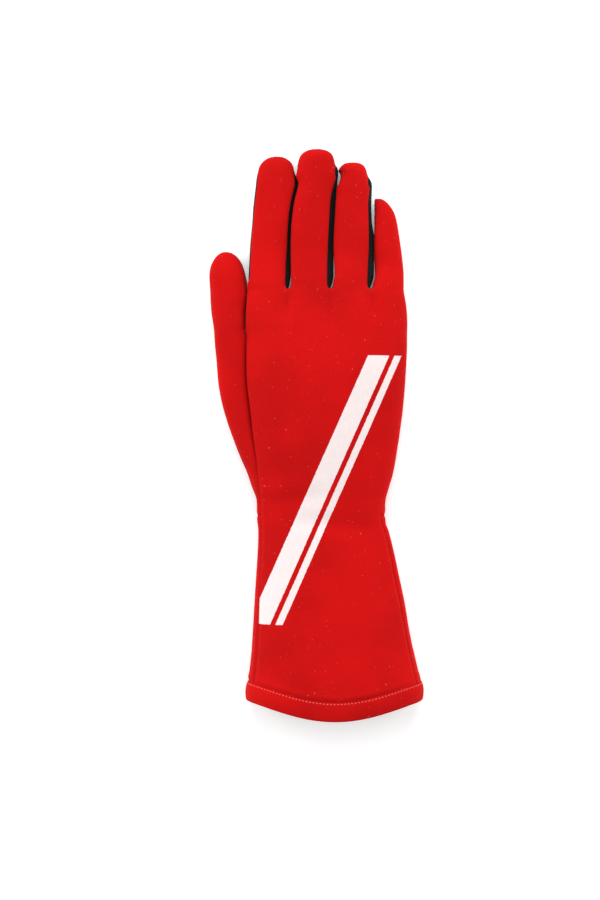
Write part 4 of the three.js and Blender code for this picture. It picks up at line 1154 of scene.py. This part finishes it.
def dress(names):
    """Makes the named panels from the skin and the scene's sizes."""
    sizes = bpy.context.scene.glove_sizes
    sheets = skin(round(sizes.spacing / MM, 4))
    gap, deep, wide = (v / MM for v in (sizes.seam_gap, sizes.seam_depth, sizes.seam_width))
    for name in names:
        node, wall, kind, slot_name = PANELS[name]
        body = "knit" if kind in ("knit", "printed") else "suede"
        vertices, tri, flat, which = panel_solid(sheets[node], wall, body, gap, deep, wide)
        piece(name, vertices, tri, flat, [finish(kind), finish("lining")], which, [node])
    return {"FINISHED"}


class GLOVE_OT_back(bpy.types.Operator):
    """Back of the hand, fingers and gauntlet, with its printed bands"""
    bl_idname = "glove.back"
    bl_label = "Knit back"

    def execute(self, context):
        return dress(["knit_back"])


class GLOVE_OT_thumb(bpy.types.Operator):
    """Back of the thumb, wrapped round its outer side"""
    bl_idname = "glove.thumb"
    bl_label = "Knit thumb"

    def execute(self, context):
        return dress(["knit_thumb_back"])


class GLOVE_OT_gauntlet(bpy.types.Operator):
    """Sides and underside of the gauntlet"""
    bl_idname = "glove.gauntlet"
    bl_label = "Gauntlet sides"

    def execute(self, context):
        return dress(["knit_gauntlet_sides"])


class GLOVE_OT_palm(bpy.types.Operator):
    """Suede of the palm, the fingers' undersides and the thumb's"""
    bl_idname = "glove.palm"
    bl_label = "Suede palm"

    def execute(self, context):
        return dress(["suede_palm", "suede_thumb_palm"])


class GLOVE_OT_strips(bpy.types.Operator):
    """Narrow strips between the fingers and beside the thumb"""
    bl_idname = "glove.strips"
    bl_label = "Side strips"

    def execute(self, context):
        return dress([name for name in PANELS if "strip" in name])


class GLOVE_OT_hem(bpy.types.Operator):
    """Folded band at the end of the gauntlet, with its row of stitches"""
    bl_idname = "glove.hem"
    bl_label = "Hem"

    def execute(self, context):
        sizes = context.scene.glove_sizes
        profile = hem_profile()
        grid, out = hem_surface(round(sizes.spacing / MM, 4), profile)
        vertices, tri, flat, which = ring_solid(grid, HEM_INSIDE - 1)
        cloths = [finish("knit"), finish("lining")]
        piece("hem_band", vertices, tri, flat, cloths, which, ["cuff_hem"])
        line = int(np.argmin(np.abs(profile[:HEM_OUTSIDE, 0] - STITCH_LINE)))
        path = np.concatenate([grid[:, line], grid[:1, line]])
        vertices, tri = stitches(path, np.concatenate([out, out[:1]]), sizes.stitch_pitch / MM,
                                 sizes.stitch_length / MM, STITCH_RADIUS)
        vertices[:, 2] = np.maximum(0, vertices[:, 2])
        piece("hem_stitches", vertices, tri, np.zeros((len(tri), 3, 2)), [finish("thread")], 0, [])
        return {"FINISHED"}


def soft_light(name, place, size, watts):
    """A square soft light that faces the glove."""
    data = bpy.data.lights.new(name, "AREA")
    data.size, data.energy = size, watts
    lamp = put_in_scene(name, data)
    lamp.location = place
    lamp.rotation_euler = (-Vector(place)).to_track_quat("-Z", "Y").to_euler()


class GLOVE_OT_stage(bpy.types.Operator):
    """Pale floor, soft lights and the camera straight above"""
    bl_idname = "glove.stage"
    bl_label = "Stage"

    def execute(self, context):
        scene, settings = context.scene, context.scene.glove_stage
        floor = Shader("floor_pale", Roughness=0.9, Specular_IOR_Level=0.1, Emission_Strength=FLOOR_GLOW)
        floor.feed(Base_Color=floor.blend(floor.speckle(floor.place(), 8), *shades(settings.floor, 0.98, 1)))
        mesh = bpy.data.meshes.new("floor")
        half, down = 3.0, -0.0003
        corners = [(-half, -half, down), (half, -half, down), (half, half, down), (-half, half, down)]
        mesh.from_pydata(corners, [], [(0, 1, 2, 3)])
        mesh.materials.append(floor.material)
        put_in_scene("floor", mesh)

        world = bpy.data.worlds.new("studio")
        world.use_nodes = True
        world.node_tree.nodes["Background"].inputs[0].default_value = (1, 1, 1, 1)
        world.node_tree.nodes["Background"].inputs[1].default_value = settings.sky
        scene.world = world
        for side, (place, size) in LIGHTS.items():
            soft_light(f"{side}_light", place, size, getattr(settings, side))

        data = bpy.data.cameras.new("camera")
        data.sensor_width = SENSOR
        data.lens = SENSOR * settings.distance / VIEW_HEIGHT
        data.clip_start, data.clip_end = 0.01, 20
        scene.camera = put_in_scene("camera", data)
        scene.camera.location = (*VIEW_MIDDLE, settings.distance + VIEW_LIFT)
        scene.view_settings.view_transform = "Standard"
        return {"FINISHED"}


OPERATORS = [GLOVE_OT_back, GLOVE_OT_thumb, GLOVE_OT_gauntlet, GLOVE_OT_palm, GLOVE_OT_strips, GLOVE_OT_hem,
             GLOVE_OT_stage]


class GLOVE_PT_panel(bpy.types.Panel):
    """The glove's settings and the operators that make it"""
    bl_idname = "GLOVE_PT_panel"
    bl_label = "Glove"
    bl_space_type = "VIEW_3D"
    bl_region_type = "UI"
    bl_category = "Glove"

    def draw(self, context):
        for group in (context.scene.glove_colours, context.scene.glove_sizes, context.scene.glove_stage):
            box = self.layout.box()
            for name in group.__annotations__:
                box.prop(group, name)
        for operator in OPERATORS:
            self.layout.operator(operator.bl_idname)


CLASSES = [GloveColours, GloveSizes, GloveStage, *OPERATORS, GLOVE_PT_panel]


def register():
    """Adds the classes and the scene's settings."""
    for cls in CLASSES:
        bpy.utils.register_class(cls)
    bpy.types.Scene.glove_colours = PointerProperty(type=GloveColours)
    bpy.types.Scene.glove_sizes = PointerProperty(type=GloveSizes)
    bpy.types.Scene.glove_stage = PointerProperty(type=GloveStage)


def unregister():
    """Takes them away again."""
    del bpy.types.Scene.glove_stage, bpy.types.Scene.glove_sizes, bpy.types.Scene.glove_colours
    for cls in reversed(CLASSES):
        bpy.utils.unregister_class(cls)


def main():
    register()
    for operator in OPERATORS:
        group, name = operator.bl_idname.split(".")
        getattr(getattr(bpy.ops, group), name)()


if __name__ == "__main__":
    main()
